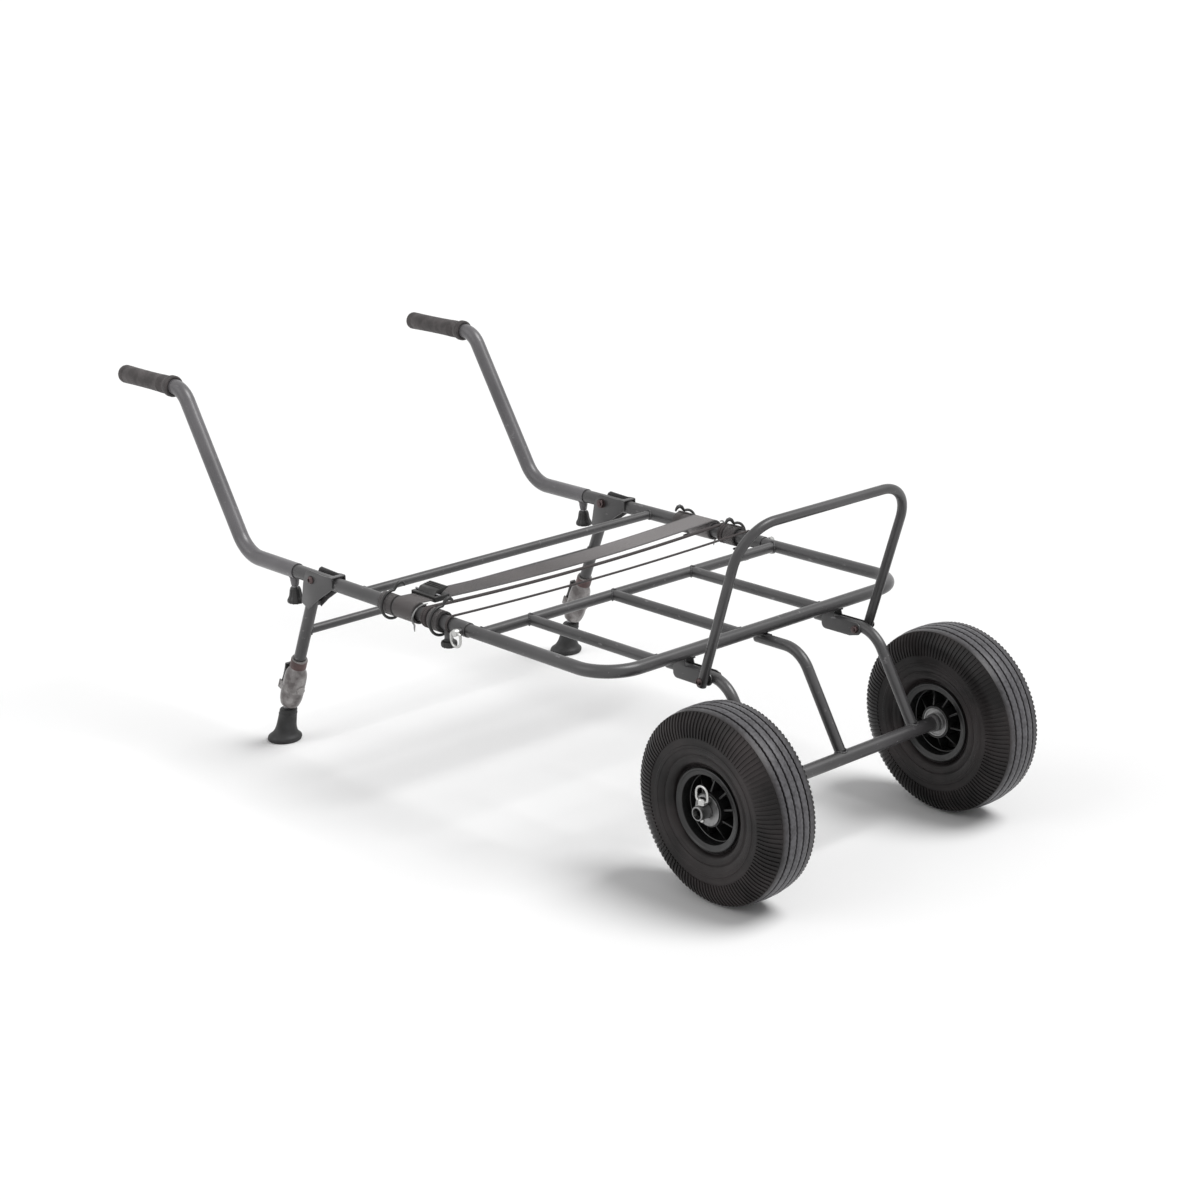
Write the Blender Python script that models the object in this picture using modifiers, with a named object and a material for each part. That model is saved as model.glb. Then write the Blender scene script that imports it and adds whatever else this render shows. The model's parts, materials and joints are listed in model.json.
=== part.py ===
"""Flat barrow: a two-wheeled carrying frame for fishing tackle.

The frame is a telescopic pair of rails with a U-shaped front section. It stands on
two air-filled wheels and on two folding legs, and it is pushed by two handles that
slide over the rear ends of the rails.

All lengths are in metres. The working frame has its origin on the floor under the
middle of the axle: +X is the left side, -Y is the front and +Z is up. The empty
called barrow moves that frame so that the finished part is centred on its base.
"""

import math

import bmesh
import bpy
from mathutils import Matrix, Vector

# Clearances
GAP = 0.0003
SLIDING_GAP = 0.0003
MESH_WELD = 0.00001

# Wheels
WHEEL_RADIUS = 0.1375
TYRE_WIDTH = 0.088
WHEEL_HALF_TRACK = 0.229
RIM_FLANGE_RADIUS = 0.0585
RIM_FLANGE_THICKNESS = 0.0032
RIM_WIDTH = 0.0736
RIM_SEAT_RADIUS = 0.0515
RIM_SEAT_WIDTH = 0.0130
RIM_WELL_DEPTH = 0.0035
RIM_DISH_RADIUS = 0.0455
RIM_DISH_FLARE = 0.0035
RIM_WEB_THICKNESS = 0.006
RIM_RIBS = 9
RIM_RIB_THICKNESS = 0.003
RIM_RIB_HEIGHT = 0.027
TREAD_DROP = 0.0035
TREAD_HALF_WIDTH = 0.030
TREAD_GROOVES = (0.0185, 0.0062)
TREAD_GROOVE_WIDTH = 0.0028
TREAD_GROOVE_DEPTH = 0.0036
TYRE_WALL = 0.0055
INNER_TUBE_RADIUS = 0.0325
VALVE_RADIUS = 0.0035
VALVE_LENGTH = 0.030
HUB_RADIUS = 0.0245
HUB_LENGTH = 0.067
BEARING_RADIUS = 0.021
BEARING_WIDTH = 0.012
HUB_SPACER_RADIUS = 0.017
SLEEVE_RADIUS = 0.0135

# Axle
AXLE_RADIUS = 0.010
AXLE_BORE = 0.008
AXLE_TAIL = 0.0185
WASHER_RADIUS = 0.022
WASHER_THICKNESS = 0.0015
COLLAR_RADIUS = 0.013
COLLAR_WIDTH = 0.006
AXLE_PIN_RADIUS = 0.003
AXLE_PIN_INSET = 0.010
AXLE_PIN_TAIL = 0.0055
PIN_HEAD_RADIUS = 0.006
PIN_HEAD_HEIGHT = 0.010
RING_WIRE = 0.002
RING_WIDTH = 0.021

# Side rails
RAIL_HEIGHT = 0.295
RAIL_HALF_WIDTH = 0.300
RAIL_RADIUS = 0.011
RAIL_BORE = 0.0098
RAIL_FRONT_Y = 0.443
REAR_BAR_Y = 0.702
REAR_BAR_RADIUS = 0.007

# Front section
FRONT_RADIUS = RAIL_BORE - SLIDING_GAP
FRONT_RUN_Y = 0.151
FRONT_CORNER = 0.060
SECTION_OVERLAP = 0.222
SECTION_TRAVEL = 0.120
FRONT_BORE = 0.008
FRONT_BORE_DEPTH = 0.030
MID_BAR_GAP = 0.023
MID_BAR_Y = RAIL_FRONT_Y - MID_BAR_GAP
DECK_RADIUS = 0.008
DECK_PITCH = 0.162
DECK_OFFSET = -0.045

# Forks and their brackets
FORK_RADIUS = 0.008
FORK_SIDE_X = 0.150
FORK_SIDE_DROP = 0.025
FORK_SIDE_Z = RAIL_HEIGHT - FORK_SIDE_DROP
FORK_SLOPE = math.radians(30)
FORK_BEND = 0.050
FORK_SIDE_END_Y = 0.190
FORK_CENTRE_TAIL = 0.014
BRACKET_SHEET = 0.002
WELD_DEPTH = 0.0005
BRACKET_BASE_DROP = 0.0145
BRACKET_TOP_RISE = 0.0075
BRACKET_BASE_Z = FORK_SIDE_Z - BRACKET_BASE_DROP
BRACKET_TOP_Z = FORK_SIDE_Z + BRACKET_TOP_RISE
BRACKET_EAR = 0.0095
BRACKET_REAR_Y = 0.172
BRACKET_TAB = 0.012

# Guard loop
GUARD_RADIUS = 0.007
GUARD_PIVOT_Y = 0.105
GUARD_PIVOT_DROP = 0.002
GUARD_PIVOT_Z = FORK_SIDE_Z - GUARD_PIVOT_DROP
GUARD_LEAN = math.radians(19)
GUARD_HEIGHT = 0.229
GUARD_CORNER = 0.060
GUARD_TAIL = 0.009
GUARD_BOLT_RADIUS = 0.003
BOLT_HEAD_RADIUS = 0.0055
BOLT_HEAD_HEIGHT = 0.004

# Section clamps
SECTION_PIN_SETBACK = 0.006
SECTION_PIN_Y = RAIL_FRONT_Y + SECTION_PIN_SETBACK
SECTION_PIN_RADIUS = 0.003
SECTION_SLOT_DEPTH = 0.003
PIN_BOSS_RADIUS = 0.005
PIN_BOSS_LENGTH = 0.0055
SECTION_KNOB_SETBACK = 0.0425
SECTION_KNOB_Y = SECTION_PIN_Y + SECTION_KNOB_SETBACK
SECTION_BOSS_RADIUS = 0.0065
SECTION_BOSS_LENGTH = 0.012
SECTION_KNOB_RADIUS = 0.012
SECTION_KNOB_HEIGHT = 0.0135
SCREW_RADIUS = 0.0028

# Handles
HANDLE_WALL = 0.0012
HANDLE_RADIUS = RAIL_RADIUS + SLIDING_GAP + HANDLE_WALL
HANDLE_FRONT_Y = 0.865
HANDLE_OVERLAP = 0.100
HANDLE_END_PLAY = 0.003
HANDLE_RISE = 0.245
HANDLE_RAKE = math.radians(32.3)
HANDLE_BEND = 0.062
HANDLE_TOP_BEND = 0.042
GRIP_RUN = 0.176
GRIP_START_GAP = 0.001
GRIP_WALL = 0.0022
GRIP_END_WALL = 0.004
GRIP_FLANGE_RADIUS = 0.0175
GRIP_FLANGE_LENGTH = 0.012
HANDLE_KNOB_SETBACK = 0.010
HANDLE_BOSS_RADIUS = 0.0075
HANDLE_BOSS_LENGTH = 0.0125
HANDLE_KNOB_TOP = 0.008
HANDLE_KNOB_BASE = 0.0135
HANDLE_KNOB_HEIGHT = 0.028

# Legs, along the leg from its pivot
LEG_PIVOT_Y = 0.812
LEG_LEAN = math.radians(23.7)
LEG_RADIUS = 0.0095
LEG_TOP = 0.036
LEG_BORE = 0.0083
YOKE_SHEET = 0.002
YOKE_BRIDGE = 0.0027
YOKE_BRIDGE_LENGTH = 0.010
YOKE_BRIDGE_Y = 0.050
BRACE_DROP = 0.103
BRACE_RADIUS = 0.007
PIVOT_BOLT_RADIUS = 0.004
PIVOT_HEAD_RADIUS = 0.0065
PIVOT_HEAD_HEIGHT = 0.004
CLAMP_LENGTH = 0.0905
CLAMP_LAP = 0.0095
CLAMP_FOOT_GAP = 0.0109
CLAMP_COLLAR = 0.0125
CLAMP_RADIUS = 0.018
LEVER_SETBACK = 0.024
LEVER_HALF_WIDTH = 0.006
LEVER_BARREL = 0.004
LEVER_PIN = 0.0015
LEVER_LENGTH = 0.040
CHEEK_WIDTH = 0.003
SLIDE_LENGTH = 0.190
SLIDE_SEAT = 0.030
SLIDE_ROOM = 0.040
FOOT_HEIGHT = 0.057
FOOT_TOP_RADIUS = 0.0125
FOOT_BASE_RADIUS = 0.0275
FOOT_SHEAR = 0.307
LEG_RUN = (RAIL_HEIGHT - FOOT_HEIGHT) / math.cos(LEG_LEAN)
CLAMP_END = LEG_RUN - CLAMP_FOOT_GAP
CLAMP_TOP = CLAMP_END - CLAMP_LENGTH
LEG_END = CLAMP_TOP + CLAMP_LAP
LEVER_PIVOT = CLAMP_END - LEVER_SETBACK
SLIDE_END = LEG_RUN + SLIDE_SEAT
SLIDE_TOP = SLIDE_END - SLIDE_LENGTH
LEG_BORE_TOP = SLIDE_TOP - SLIDE_ROOM

# Straps between the rails
WEB_Y = 0.580
WEB_WIDTH = 0.050
WEB_THICKNESS = 0.0022
WEB_LAYER_GAP = 0.0007
WEB_TURNS = 1.25
WEB_SPARE = 0.035
CORD_WEB_GAP = 0.018
CORD_REAR_Y = WEB_Y - WEB_WIDTH / 2 - CORD_WEB_GAP
CORD_REAR_RADIUS = 0.0025
CORD_REAR_LOOPS = 2
CORD_PITCH = 0.0056
CORD_KNOB_GAP = 0.011
CORD_FRONT_Y = SECTION_KNOB_Y - CORD_KNOB_GAP
CORD_FRONT_RADIUS = 0.00175
CORD_FRONT_WRAP = math.radians(240)
STRAP_SEAT = 0.0004
HOOK_WIRE = 0.0022
HOOK_RISE = 0.030
HOOK_SETBACK = 0.042
HOOK_Y = WEB_Y + HOOK_SETBACK
BUCKLE_INSET = 0.038
BUCKLE_X = RAIL_HALF_WIDTH - BUCKLE_INSET
BUCKLE_LENGTH = 0.028
BUCKLE_WALL = 0.003

# Facets
TUBE_SIDES = 14
SMALL_SIDES = 10
WIRE_SIDES = 6
TYRE_STEPS = 24
RIM_STEPS = 20
HUB_STEPS = 16
BEND_STEPS = 4
TURN_STEPS = 16

# Sizes that follow from the ones above
HANDLE_TANGENT = HANDLE_BEND * math.tan((math.pi / 2 - HANDLE_RAKE) / 2)
RAIL_REAR_Y = HANDLE_FRONT_Y + HANDLE_OVERLAP
HANDLE_CORNER_Y = RAIL_REAR_Y + HANDLE_END_PLAY + HANDLE_TANGENT
HANDLE_TOP_Z = RAIL_HEIGHT + HANDLE_RISE
HANDLE_TOP_Y = HANDLE_CORNER_Y + HANDLE_RISE * math.tan(HANDLE_RAKE)
GRIP_END_Y = HANDLE_TOP_Y + GRIP_RUN
GRIP_LENGTH = GRIP_RUN - GRIP_START_GAP - HANDLE_TOP_BEND * math.tan((math.pi / 2 - HANDLE_RAKE) / 2)
SECTION_END_Y = RAIL_FRONT_Y + SECTION_OVERLAP
HUB_END = HUB_LENGTH / 2
AXLE_HALF = WHEEL_HALF_TRACK + HUB_END + GAP + WASHER_THICKNESS + AXLE_TAIL
AXLE_PIN_X = AXLE_HALF - AXLE_PIN_INSET
PLATE_IN = FORK_RADIUS - WELD_DEPTH
PLATE_OUT = PLATE_IN + BRACKET_SHEET
GUARD_X = FORK_SIDE_X + PLATE_OUT + GAP + GUARD_RADIUS
YOKE_IN = RAIL_RADIUS + GAP
YOKE_OUT = YOKE_IN + YOKE_SHEET
FLANGE_IN = RIM_WIDTH / 2 - RIM_FLANGE_THICKNESS
BEAD_SIDE = FLANGE_IN - GAP
CROWN_INNER = WHEEL_RADIUS - TYRE_WALL - GAP
SIDES = {"left": 1, "right": -1}

# Colour, roughness and metallic value of each finish
FINISHES = {
    "frame_paint": ((0.075, 0.075, 0.078), 0.42, 0.0),
    "handle_paint": ((0.20, 0.19, 0.20), 0.40, 0.0),
    "tyre_rubber": ((0.035, 0.035, 0.038), 0.80, 0.0),
    "rim_plastic": ((0.012, 0.012, 0.013), 0.45, 0.0),
    "grip_rubber": ((0.055, 0.050, 0.050), 0.85, 0.0),
    "black_plastic": ((0.015, 0.015, 0.016), 0.50, 0.0),
    "clamp_plastic": ((0.10, 0.095, 0.095), 0.45, 0.0),
    "bright_steel": ((0.62, 0.62, 0.62), 0.25, 1.0),
    "tube_steel": ((0.35, 0.35, 0.36), 0.35, 1.0),
    "strap_fabric": ((0.080, 0.070, 0.068), 0.95, 0.0),
}


def clear_scene():
    """Remove every object of the opened scene."""
    for item in list(bpy.data.objects):
        bpy.data.objects.remove(item, do_unlink=True)


def make_materials():
    """Make one Principled material for each finish."""
    made = {}
    for name, (colour, roughness, metallic) in FINISHES.items():
        material = bpy.data.materials.new(name)
        material.use_nodes = True
        shader = material.node_tree.nodes["Principled BSDF"]
        shader.inputs["Base Color"].default_value = (*colour, 1.0)
        shader.inputs["Roughness"].default_value = roughness
        shader.inputs["Metallic"].default_value = metallic
        material.diffuse_color = (*colour, 1.0)
        made[name] = material
    return made


clear_scene()
MATERIALS = make_materials()
PARTS = bpy.data.collections.new("flat_barrow")
CUTTERS = bpy.data.collections.new("cutters")
bpy.context.scene.collection.children.link(PARTS)
bpy.context.scene.collection.children.link(CUTTERS)


def empty(name, place, parent=None, turn=(0.0, 0.0, 0.0)):
    """Add an empty that carries other pieces, in its parent's frame."""
    carrier = bpy.data.objects.new(name, None)
    carrier.empty_display_size = 0.02
    PARTS.objects.link(carrier)
    carrier.location = place
    carrier.rotation_euler = turn
    carrier.parent = parent
    return carrier


ROOT = empty("barrow", (0.0, -(GRIP_END_Y - WHEEL_RADIUS) / 2, 0.0))


def add_object(name, data, finish, parent, collection=PARTS):
    """Link a new object with its finish under its parent."""
    item = bpy.data.objects.new(name, data)
    collection.objects.link(item)
    item.parent = parent or ROOT
    if finish:
        data.materials.append(MATERIALS[finish])
    return item


def smooth(mesh):
    """Shade the round faces smooth and keep true edges sharp."""
    mesh.shade_smooth()
    mesh.set_sharp_from_angle(angle=math.radians(40))


def store(shape, name, finish, parent):
    """Turn a bmesh into a smooth-shaded object."""
    mesh = bpy.data.meshes.new(name)
    shape.to_mesh(mesh)
    shape.free()
    smooth(mesh)
    return add_object(name, mesh, finish, parent)


def evaluated_mesh(item):
    """Mesh of an object with its modifiers, its loose caps welded."""
    bpy.context.view_layer.update()
    graph = bpy.context.evaluated_depsgraph_get()
    mesh = bpy.data.meshes.new_from_object(item.evaluated_get(graph))
    shape = bmesh.new()
    shape.from_mesh(mesh)
    bmesh.ops.remove_doubles(shape, verts=shape.verts, dist=MESH_WELD)
    bmesh.ops.recalc_face_normals(shape, faces=shape.faces)
    shape.to_mesh(mesh)
    shape.free()
    smooth(mesh)
    return mesh


def as_mesh(item):
    """Replace a curve, or a piece with modifiers, by a mesh object in its place."""
    mesh = evaluated_mesh(item)
    name = item.name
    world = item.matrix_world.copy()
    parent = item.parent
    bpy.data.objects.remove(item, do_unlink=True)
    mesh.name = name
    solid = add_object(name, mesh, None, parent)
    bpy.context.view_layer.update()
    solid.matrix_world = world
    return solid


def tube(name, points, radius, finish=None, parent=None, sides=TUBE_SIDES):
    """Round bar along points, as a curve with a bevel and filled caps."""
    curve = bpy.data.curves.new(name, "CURVE")
    curve.dimensions = "3D"
    curve.bevel_depth = radius
    curve.bevel_resolution = (sides - 4) // 2
    curve.use_fill_caps = True
    spline = curve.splines.new("POLY")
    spline.points.add(len(points) - 1)
    for knot, place in zip(spline.points, points):
        knot.co = (*place, 1.0)
    return add_object(name, curve, finish, parent)


def rounded_path(corners, bends, steps=BEND_STEPS):
    """Points along straight runs whose inner corners are rounded by arcs."""
    knots = [Vector(corner) for corner in corners]
    path = [knots[0]]
    for before, corner, after, bend in zip(knots, knots[1:], knots[2:], bends):
        back = (before - corner).normalized()
        ahead = (after - corner).normalized()
        half = back.angle(ahead) / 2
        centre = corner + (back + ahead).normalized() * (bend / math.sin(half))
        first = corner + back * (bend / math.tan(half)) - centre
        last = corner + ahead * (bend / math.tan(half)) - centre
        sweep = first.angle(last)
        for step in range(steps + 1):
            share = step / steps
            mixed = first * math.sin((1 - share) * sweep) + last * math.sin(share * sweep)
            path.append(centre + mixed / math.sin(sweep))
    path.append(knots[-1])
    return path


def turned(name, profile, finish=None, parent=None, steps=HUB_STEPS, closed=False):
    """Piece turned about its own Z axis. The profile runs down its outer side."""
    shape = bmesh.new()
    knots = [shape.verts.new((radius, 0.0, height)) for radius, height in profile]
    for first, second in zip(knots, knots[1:]):
        shape.edges.new((first, second))
    if closed:
        shape.edges.new((knots[-1], knots[0]))
    mesh = bpy.data.meshes.new(name)
    shape.to_mesh(mesh)
    shape.free()
    item = add_object(name, mesh, finish, parent)
    screw = item.modifiers.new("Turn", "SCREW")
    screw.steps = steps
    screw.render_steps = steps
    screw.use_merge_vertices = True
    screw.merge_threshold = MESH_WELD
    return item


def block(name, low, high, finish=None, parent=None):
    """Box between two corners."""
    low = Vector(low)
    high = Vector(high)
    shape = bmesh.new()
    sized = Matrix.Translation((low + high) / 2) @ Matrix.Diagonal((*(high - low), 1.0))
    bmesh.ops.create_cube(shape, size=1.0, matrix=sized)
    return store(shape, name, finish, parent)


def rod(name, start, end, radius, finish=None, parent=None, sides=TUBE_SIDES, end_radius=None):
    """Cylinder or cone between two points."""
    start = Vector(start)
    end = Vector(end)
    run = end - start
    facing = run.to_track_quat("Z", "Y").to_matrix().to_4x4()
    shape = bmesh.new()
    bmesh.ops.create_cone(
        shape,
        cap_ends=True,
        segments=sides,
        radius1=radius,
        radius2=radius if end_radius is None else end_radius,
        depth=run.length,
        matrix=Matrix.Translation((start + end) / 2) @ facing,
    )
    return store(shape, name, finish, parent)


def plate(name, outline, thickness, finish=None, parent=None):
    """Flat plate from an outline in its own XY plane, half its thickness to each side."""
    curve = bpy.data.curves.new(name, "CURVE")
    curve.dimensions = "2D"
    curve.fill_mode = "BOTH"
    curve.extrude = thickness / 2
    spline = curve.splines.new("POLY")
    spline.points.add(len(outline) - 1)
    for knot, (across, up) in zip(spline.points, outline):
        knot.co = (across, up, 0.0, 1.0)
    spline.use_cyclic_u = True
    return add_object(name, curve, finish, parent)


def side_plate(name, outline, middle_x, thickness, finish=None, parent=None):
    """Plate whose outline is given as (y, z) points, standing across X."""
    item = plate(name, outline, thickness, finish, parent)
    item.rotation_euler = (math.pi / 2, 0.0, math.pi / 2)
    item.location = (middle_x, 0.0, 0.0)
    return item


def shelve(tool):
    """Move a cutter or a joined shape to the cutters, shown as wire."""
    PARTS.objects.unlink(tool)
    CUTTERS.objects.link(tool)
    tool.hide_render = True
    tool.display_type = "WIRE"
    return tool


def combine(piece, tools, operation):
    """Add exact Boolean modifiers for the tools, which become wire guides."""
    if piece.type == "CURVE":
        piece = as_mesh(piece)
    for tool in tools:
        if tool.type == "CURVE":
            tool = as_mesh(tool)
        modifier = piece.modifiers.new(operation.title(), "BOOLEAN")
        modifier.operation = operation
        modifier.solver = "EXACT"
        modifier.object = shelve(tool)
    return piece


def cut(piece, *tools):
    """Cut the tools out of a piece."""
    return combine(piece, tools, "DIFFERENCE")


def join(piece, *tools):
    """Weld the tools to a piece."""
    return combine(piece, tools, "UNION")


def ring_of(piece, count):
    """Repeat a mesh piece round its own Z axis, as separate solids in one object."""
    piece = as_mesh(piece)
    single = piece.data.copy()
    shape = bmesh.new()
    for number in range(count):
        turned_copy = single.copy()
        turned_copy.transform(Matrix.Rotation(2 * math.pi * number / count, 4, "Z"))
        shape.from_mesh(turned_copy)
    shape.to_mesh(piece.data)
    shape.free()
    return piece


def hang(item, carrier):
    """Parent a finished piece to a joint's empty and keep its place."""
    bpy.context.view_layer.update()
    world = item.matrix_world.copy()
    item.parent = carrier
    item.matrix_world = world
    return item


def arc(centre, radius, start, end, steps):
    """Points of an arc in a plane, from one angle to another."""
    points = []
    for step in range(steps + 1):
        angle = start + (end - start) * step / steps
        points.append((centre[0] + radius * math.cos(angle), centre[1] + radius * math.sin(angle)))
    return points


def both_sides(half):
    """Profile mirrored from its upper half: points from the top down to the bottom."""
    return half + [(radius, -height) for radius, height in reversed(half)]


def faceted_bore(radius, steps):
    """Corner radius of a faceted bore whose flats clear a round piece of this radius."""
    return (radius + GAP) / math.cos(math.pi / steps)


# Wheels, each in its own frame with +Z pointing outwards along the axle


def crown(height):
    """Radius of the tread at a height from the tyre's middle. The middle rib is flat."""
    flat = TREAD_GROOVES[-1] - TREAD_GROOVE_WIDTH / 2
    return WHEEL_RADIUS - TREAD_DROP * ((height - flat) / (TREAD_HALF_WIDTH - flat)) ** 2


def tyre_profile():
    """Closed section of the tyre, from bead to bead over the tread."""
    half_width = TYRE_WIDTH / 2
    seat = faceted_bore(RIM_SEAT_RADIUS, TYRE_STEPS)
    height = WHEEL_RADIUS - seat
    toe = FLANGE_IN - RIM_SEAT_WIDTH + GAP
    half = [
        (seat, BEAD_SIDE),
        (RIM_FLANGE_RADIUS + 2 * GAP, BEAD_SIDE),
        (seat + 0.15 * height, half_width * 0.875),
        (seat + 0.36 * height, half_width * 0.99),
        (seat + 0.60 * height, half_width),
        (seat + 0.84 * height, half_width * 0.88),
        (crown(TREAD_HALF_WIDTH), TREAD_HALF_WIDTH),
    ]
    for groove in TREAD_GROOVES:
        edge = TREAD_GROOVE_WIDTH / 2
        half.append((crown(groove + edge), groove + edge))
        half.append((crown(groove) - TREAD_GROOVE_DEPTH, groove))
        half.append((crown(groove - edge), groove - edge))
    inner = [
        (CROWN_INNER, half_width * 0.45),
        (seat + 0.55 * height, half_width - TYRE_WALL),
        (seat + 0.16 * height, half_width * 0.72),
        (seat, toe),
    ]
    return both_sides(half) + [(radius, -offset) for radius, offset in reversed(inner)] + inner


def make_tyre(name, carrier):
    """Hollow tyre with its beads, sidewalls and grooved tread."""
    profile = tyre_profile()
    return turned(name, profile, "tyre_rubber", carrier, TYRE_STEPS, closed=True)


def make_inner_tube(name, carrier):
    """Air tube inside the tyre, with its valve through the rim."""
    middle = (RIM_SEAT_RADIUS + CROWN_INNER) / 2 + 0.003
    section = arc((middle, 0.0), INNER_TUBE_RADIUS, math.pi / 2, math.pi / 2 - 2 * math.pi, 8)
    ring = turned(name, section[:-1], "grip_rubber", carrier, HUB_STEPS, closed=True)
    ring = as_mesh(ring)
    stem = rod(
        name + "_valve",
        valve_point(middle - INNER_TUBE_RADIUS * 0.8),
        valve_point(middle - INNER_TUBE_RADIUS - VALVE_LENGTH),
        VALVE_RADIUS,
        None,
        carrier,
        SMALL_SIDES,
    )
    return join(ring, stem)


def valve_point(radius):
    """Point on the valve's axis, midway between two ribs of the outer dish."""
    angle = math.pi / RIM_RIBS
    height = RIM_WEB_THICKNESS / 2 + VALVE_RADIUS + 0.002
    return (radius * math.cos(angle), radius * math.sin(angle), height)


def rim_profile():
    """Closed section of the rim: flanges, bead seats, well, dish, web and hub."""
    edge = RIM_WIDTH / 2
    well_edge = FLANGE_IN - RIM_SEAT_WIDTH
    web = RIM_WEB_THICKNESS / 2
    pocket = HUB_END - BEARING_WIDTH
    outer = [
        (RIM_DISH_RADIUS + RIM_DISH_FLARE, edge),
        (RIM_FLANGE_RADIUS, edge),
        (RIM_FLANGE_RADIUS, FLANGE_IN),
        (RIM_SEAT_RADIUS, FLANGE_IN),
        (RIM_SEAT_RADIUS, well_edge),
        (RIM_SEAT_RADIUS - RIM_WELL_DEPTH, well_edge - RIM_WELL_DEPTH),
    ]
    inner = [
        (HUB_SPACER_RADIUS, pocket),
        (BEARING_RADIUS + GAP, pocket),
        (BEARING_RADIUS + GAP, HUB_END),
        (HUB_RADIUS - 0.0005, HUB_END),
        (HUB_RADIUS, web),
        (RIM_DISH_RADIUS, web),
    ]
    return both_sides(outer) + [(radius, -height) for radius, height in reversed(inner)] + inner


def make_rim(name, carrier):
    """Deep-dish rim with its hub, and thin radial ribs on both faces of the web."""
    rim = as_mesh(turned(name, rim_profile(), "rim_plastic", carrier, RIM_STEPS, closed=True))
    inside = (HUB_RADIUS + BEARING_RADIUS) / 2
    outside = RIM_DISH_RADIUS + 0.0018
    well_edge = FLANGE_IN - RIM_SEAT_WIDTH
    outline = [
        (inside, -RIM_RIB_HEIGHT),
        (outside, -well_edge * 0.75),
        (outside, well_edge * 0.75),
        (inside, RIM_RIB_HEIGHT),
    ]
    rib = plate(name + "_ribs", outline, RIM_RIB_THICKNESS, None, carrier)
    rib.rotation_euler = (math.pi / 2, 0.0, 0.0)
    rib = as_mesh(rib)
    bpy.context.view_layer.update()
    rib.data.transform(carrier.matrix_world.inverted() @ rib.matrix_world)
    rib.matrix_world = carrier.matrix_world
    rim = join(rim, ring_of(rib, RIM_RIBS))
    bore = rod(
        name + "_bore",
        (0.0, 0.0, -HUB_END - GAP),
        (0.0, 0.0, HUB_END + GAP),
        HUB_SPACER_RADIUS,
        None,
        carrier,
        RIM_STEPS,
    )
    valve_hole = rod(
        name + "_valve_hole",
        valve_point(RIM_DISH_RADIUS - 0.003),
        valve_point(RIM_SEAT_RADIUS + 0.002),
        VALVE_RADIUS + GAP,
        None,
        carrier,
        SMALL_SIDES,
    )
    return cut(rim, bore, valve_hole)


def make_bearing_set(name, carrier):
    """Two bearings in the hub's ends, with the distance sleeve between their inner rings."""
    top = HUB_END
    step = HUB_END - BEARING_WIDTH + GAP
    bore = AXLE_RADIUS + GAP
    outer = [(BEARING_RADIUS, top), (BEARING_RADIUS, step), (SLEEVE_RADIUS, step)]
    profile = both_sides(outer) + [(bore, -top), (bore, top)]
    return turned(name, profile, "bright_steel", carrier, HUB_STEPS, closed=True)


def make_wheel(side, sign):
    """One wheel in the frame of its joint's empty."""
    place = (sign * WHEEL_HALF_TRACK, 0.0, WHEEL_RADIUS)
    carrier = empty("wheel_axis_" + side, place, ROOT, (0.0, sign * math.pi / 2, 0.0))
    make_tyre("tyre_" + side, carrier)
    make_inner_tube("inner_tube_" + side, carrier)
    make_rim("rim_" + side, carrier)
    make_bearing_set("bearing_set_" + side, carrier)


# Axle


def make_axle():
    """Axle tube with a welded stop collar inside each wheel and a hole for each pin."""
    axle = tube(
        "axle_tube",
        [(-AXLE_HALF, 0.0, WHEEL_RADIUS), (AXLE_HALF, 0.0, WHEEL_RADIUS)],
        AXLE_RADIUS,
        "frame_paint",
    )
    collar_x = WHEEL_HALF_TRACK - HUB_END - GAP
    collars = []
    tools = []
    for side, sign in SIDES.items():
        collars.append(
            rod(
                "axle_collar_" + side,
                (sign * collar_x, 0.0, WHEEL_RADIUS),
                (sign * (collar_x - COLLAR_WIDTH), 0.0, WHEEL_RADIUS),
                COLLAR_RADIUS,
            )
        )
        reach = AXLE_RADIUS + 0.005
        tools.append(
            rod(
                "axle_pin_hole_" + side,
                (sign * AXLE_PIN_X, 0.0, WHEEL_RADIUS - reach),
                (sign * AXLE_PIN_X, 0.0, WHEEL_RADIUS + reach),
                AXLE_PIN_RADIUS + GAP,
                sides=SMALL_SIDES,
            )
        )
    end = AXLE_HALF + 0.002
    tools.append(
        rod("axle_bore", (-end, 0.0, WHEEL_RADIUS), (end, 0.0, WHEEL_RADIUS), AXLE_BORE)
    )
    axle = join(axle, *collars)
    return cut(axle, *tools)


def make_washer(side, sign):
    """Bright washer between the hub's outer end and the axle pin."""
    half = WASHER_THICKNESS / 2
    bore = AXLE_RADIUS + GAP
    section = [(WASHER_RADIUS, half), (WASHER_RADIUS, -half), (bore, -half), (bore, half)]
    washer = turned("axle_washer_" + side, section, "bright_steel", steps=HUB_STEPS, closed=True)
    washer.rotation_euler = (0.0, math.pi / 2, 0.0)
    washer.location = (sign * (WHEEL_HALF_TRACK + HUB_END + GAP + half), 0.0, WHEEL_RADIUS)


def ring_path(half_gap, upwards):
    """Oval pull ring in its YZ plane: its two ends point at each other along Y."""
    half = RING_WIDTH / 2
    far = upwards * RING_WIDTH
    corners = [
        (0.0, half_gap, 0.0),
        (0.0, half, 0.0),
        (0.0, half, far),
        (0.0, -half, far),
        (0.0, -half, 0.0),
        (0.0, -half_gap, 0.0),
    ]
    small = (half - half_gap) * 0.9
    large = half * 0.97
    return rounded_path(corners, [small, large, large, small], 3)


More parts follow.
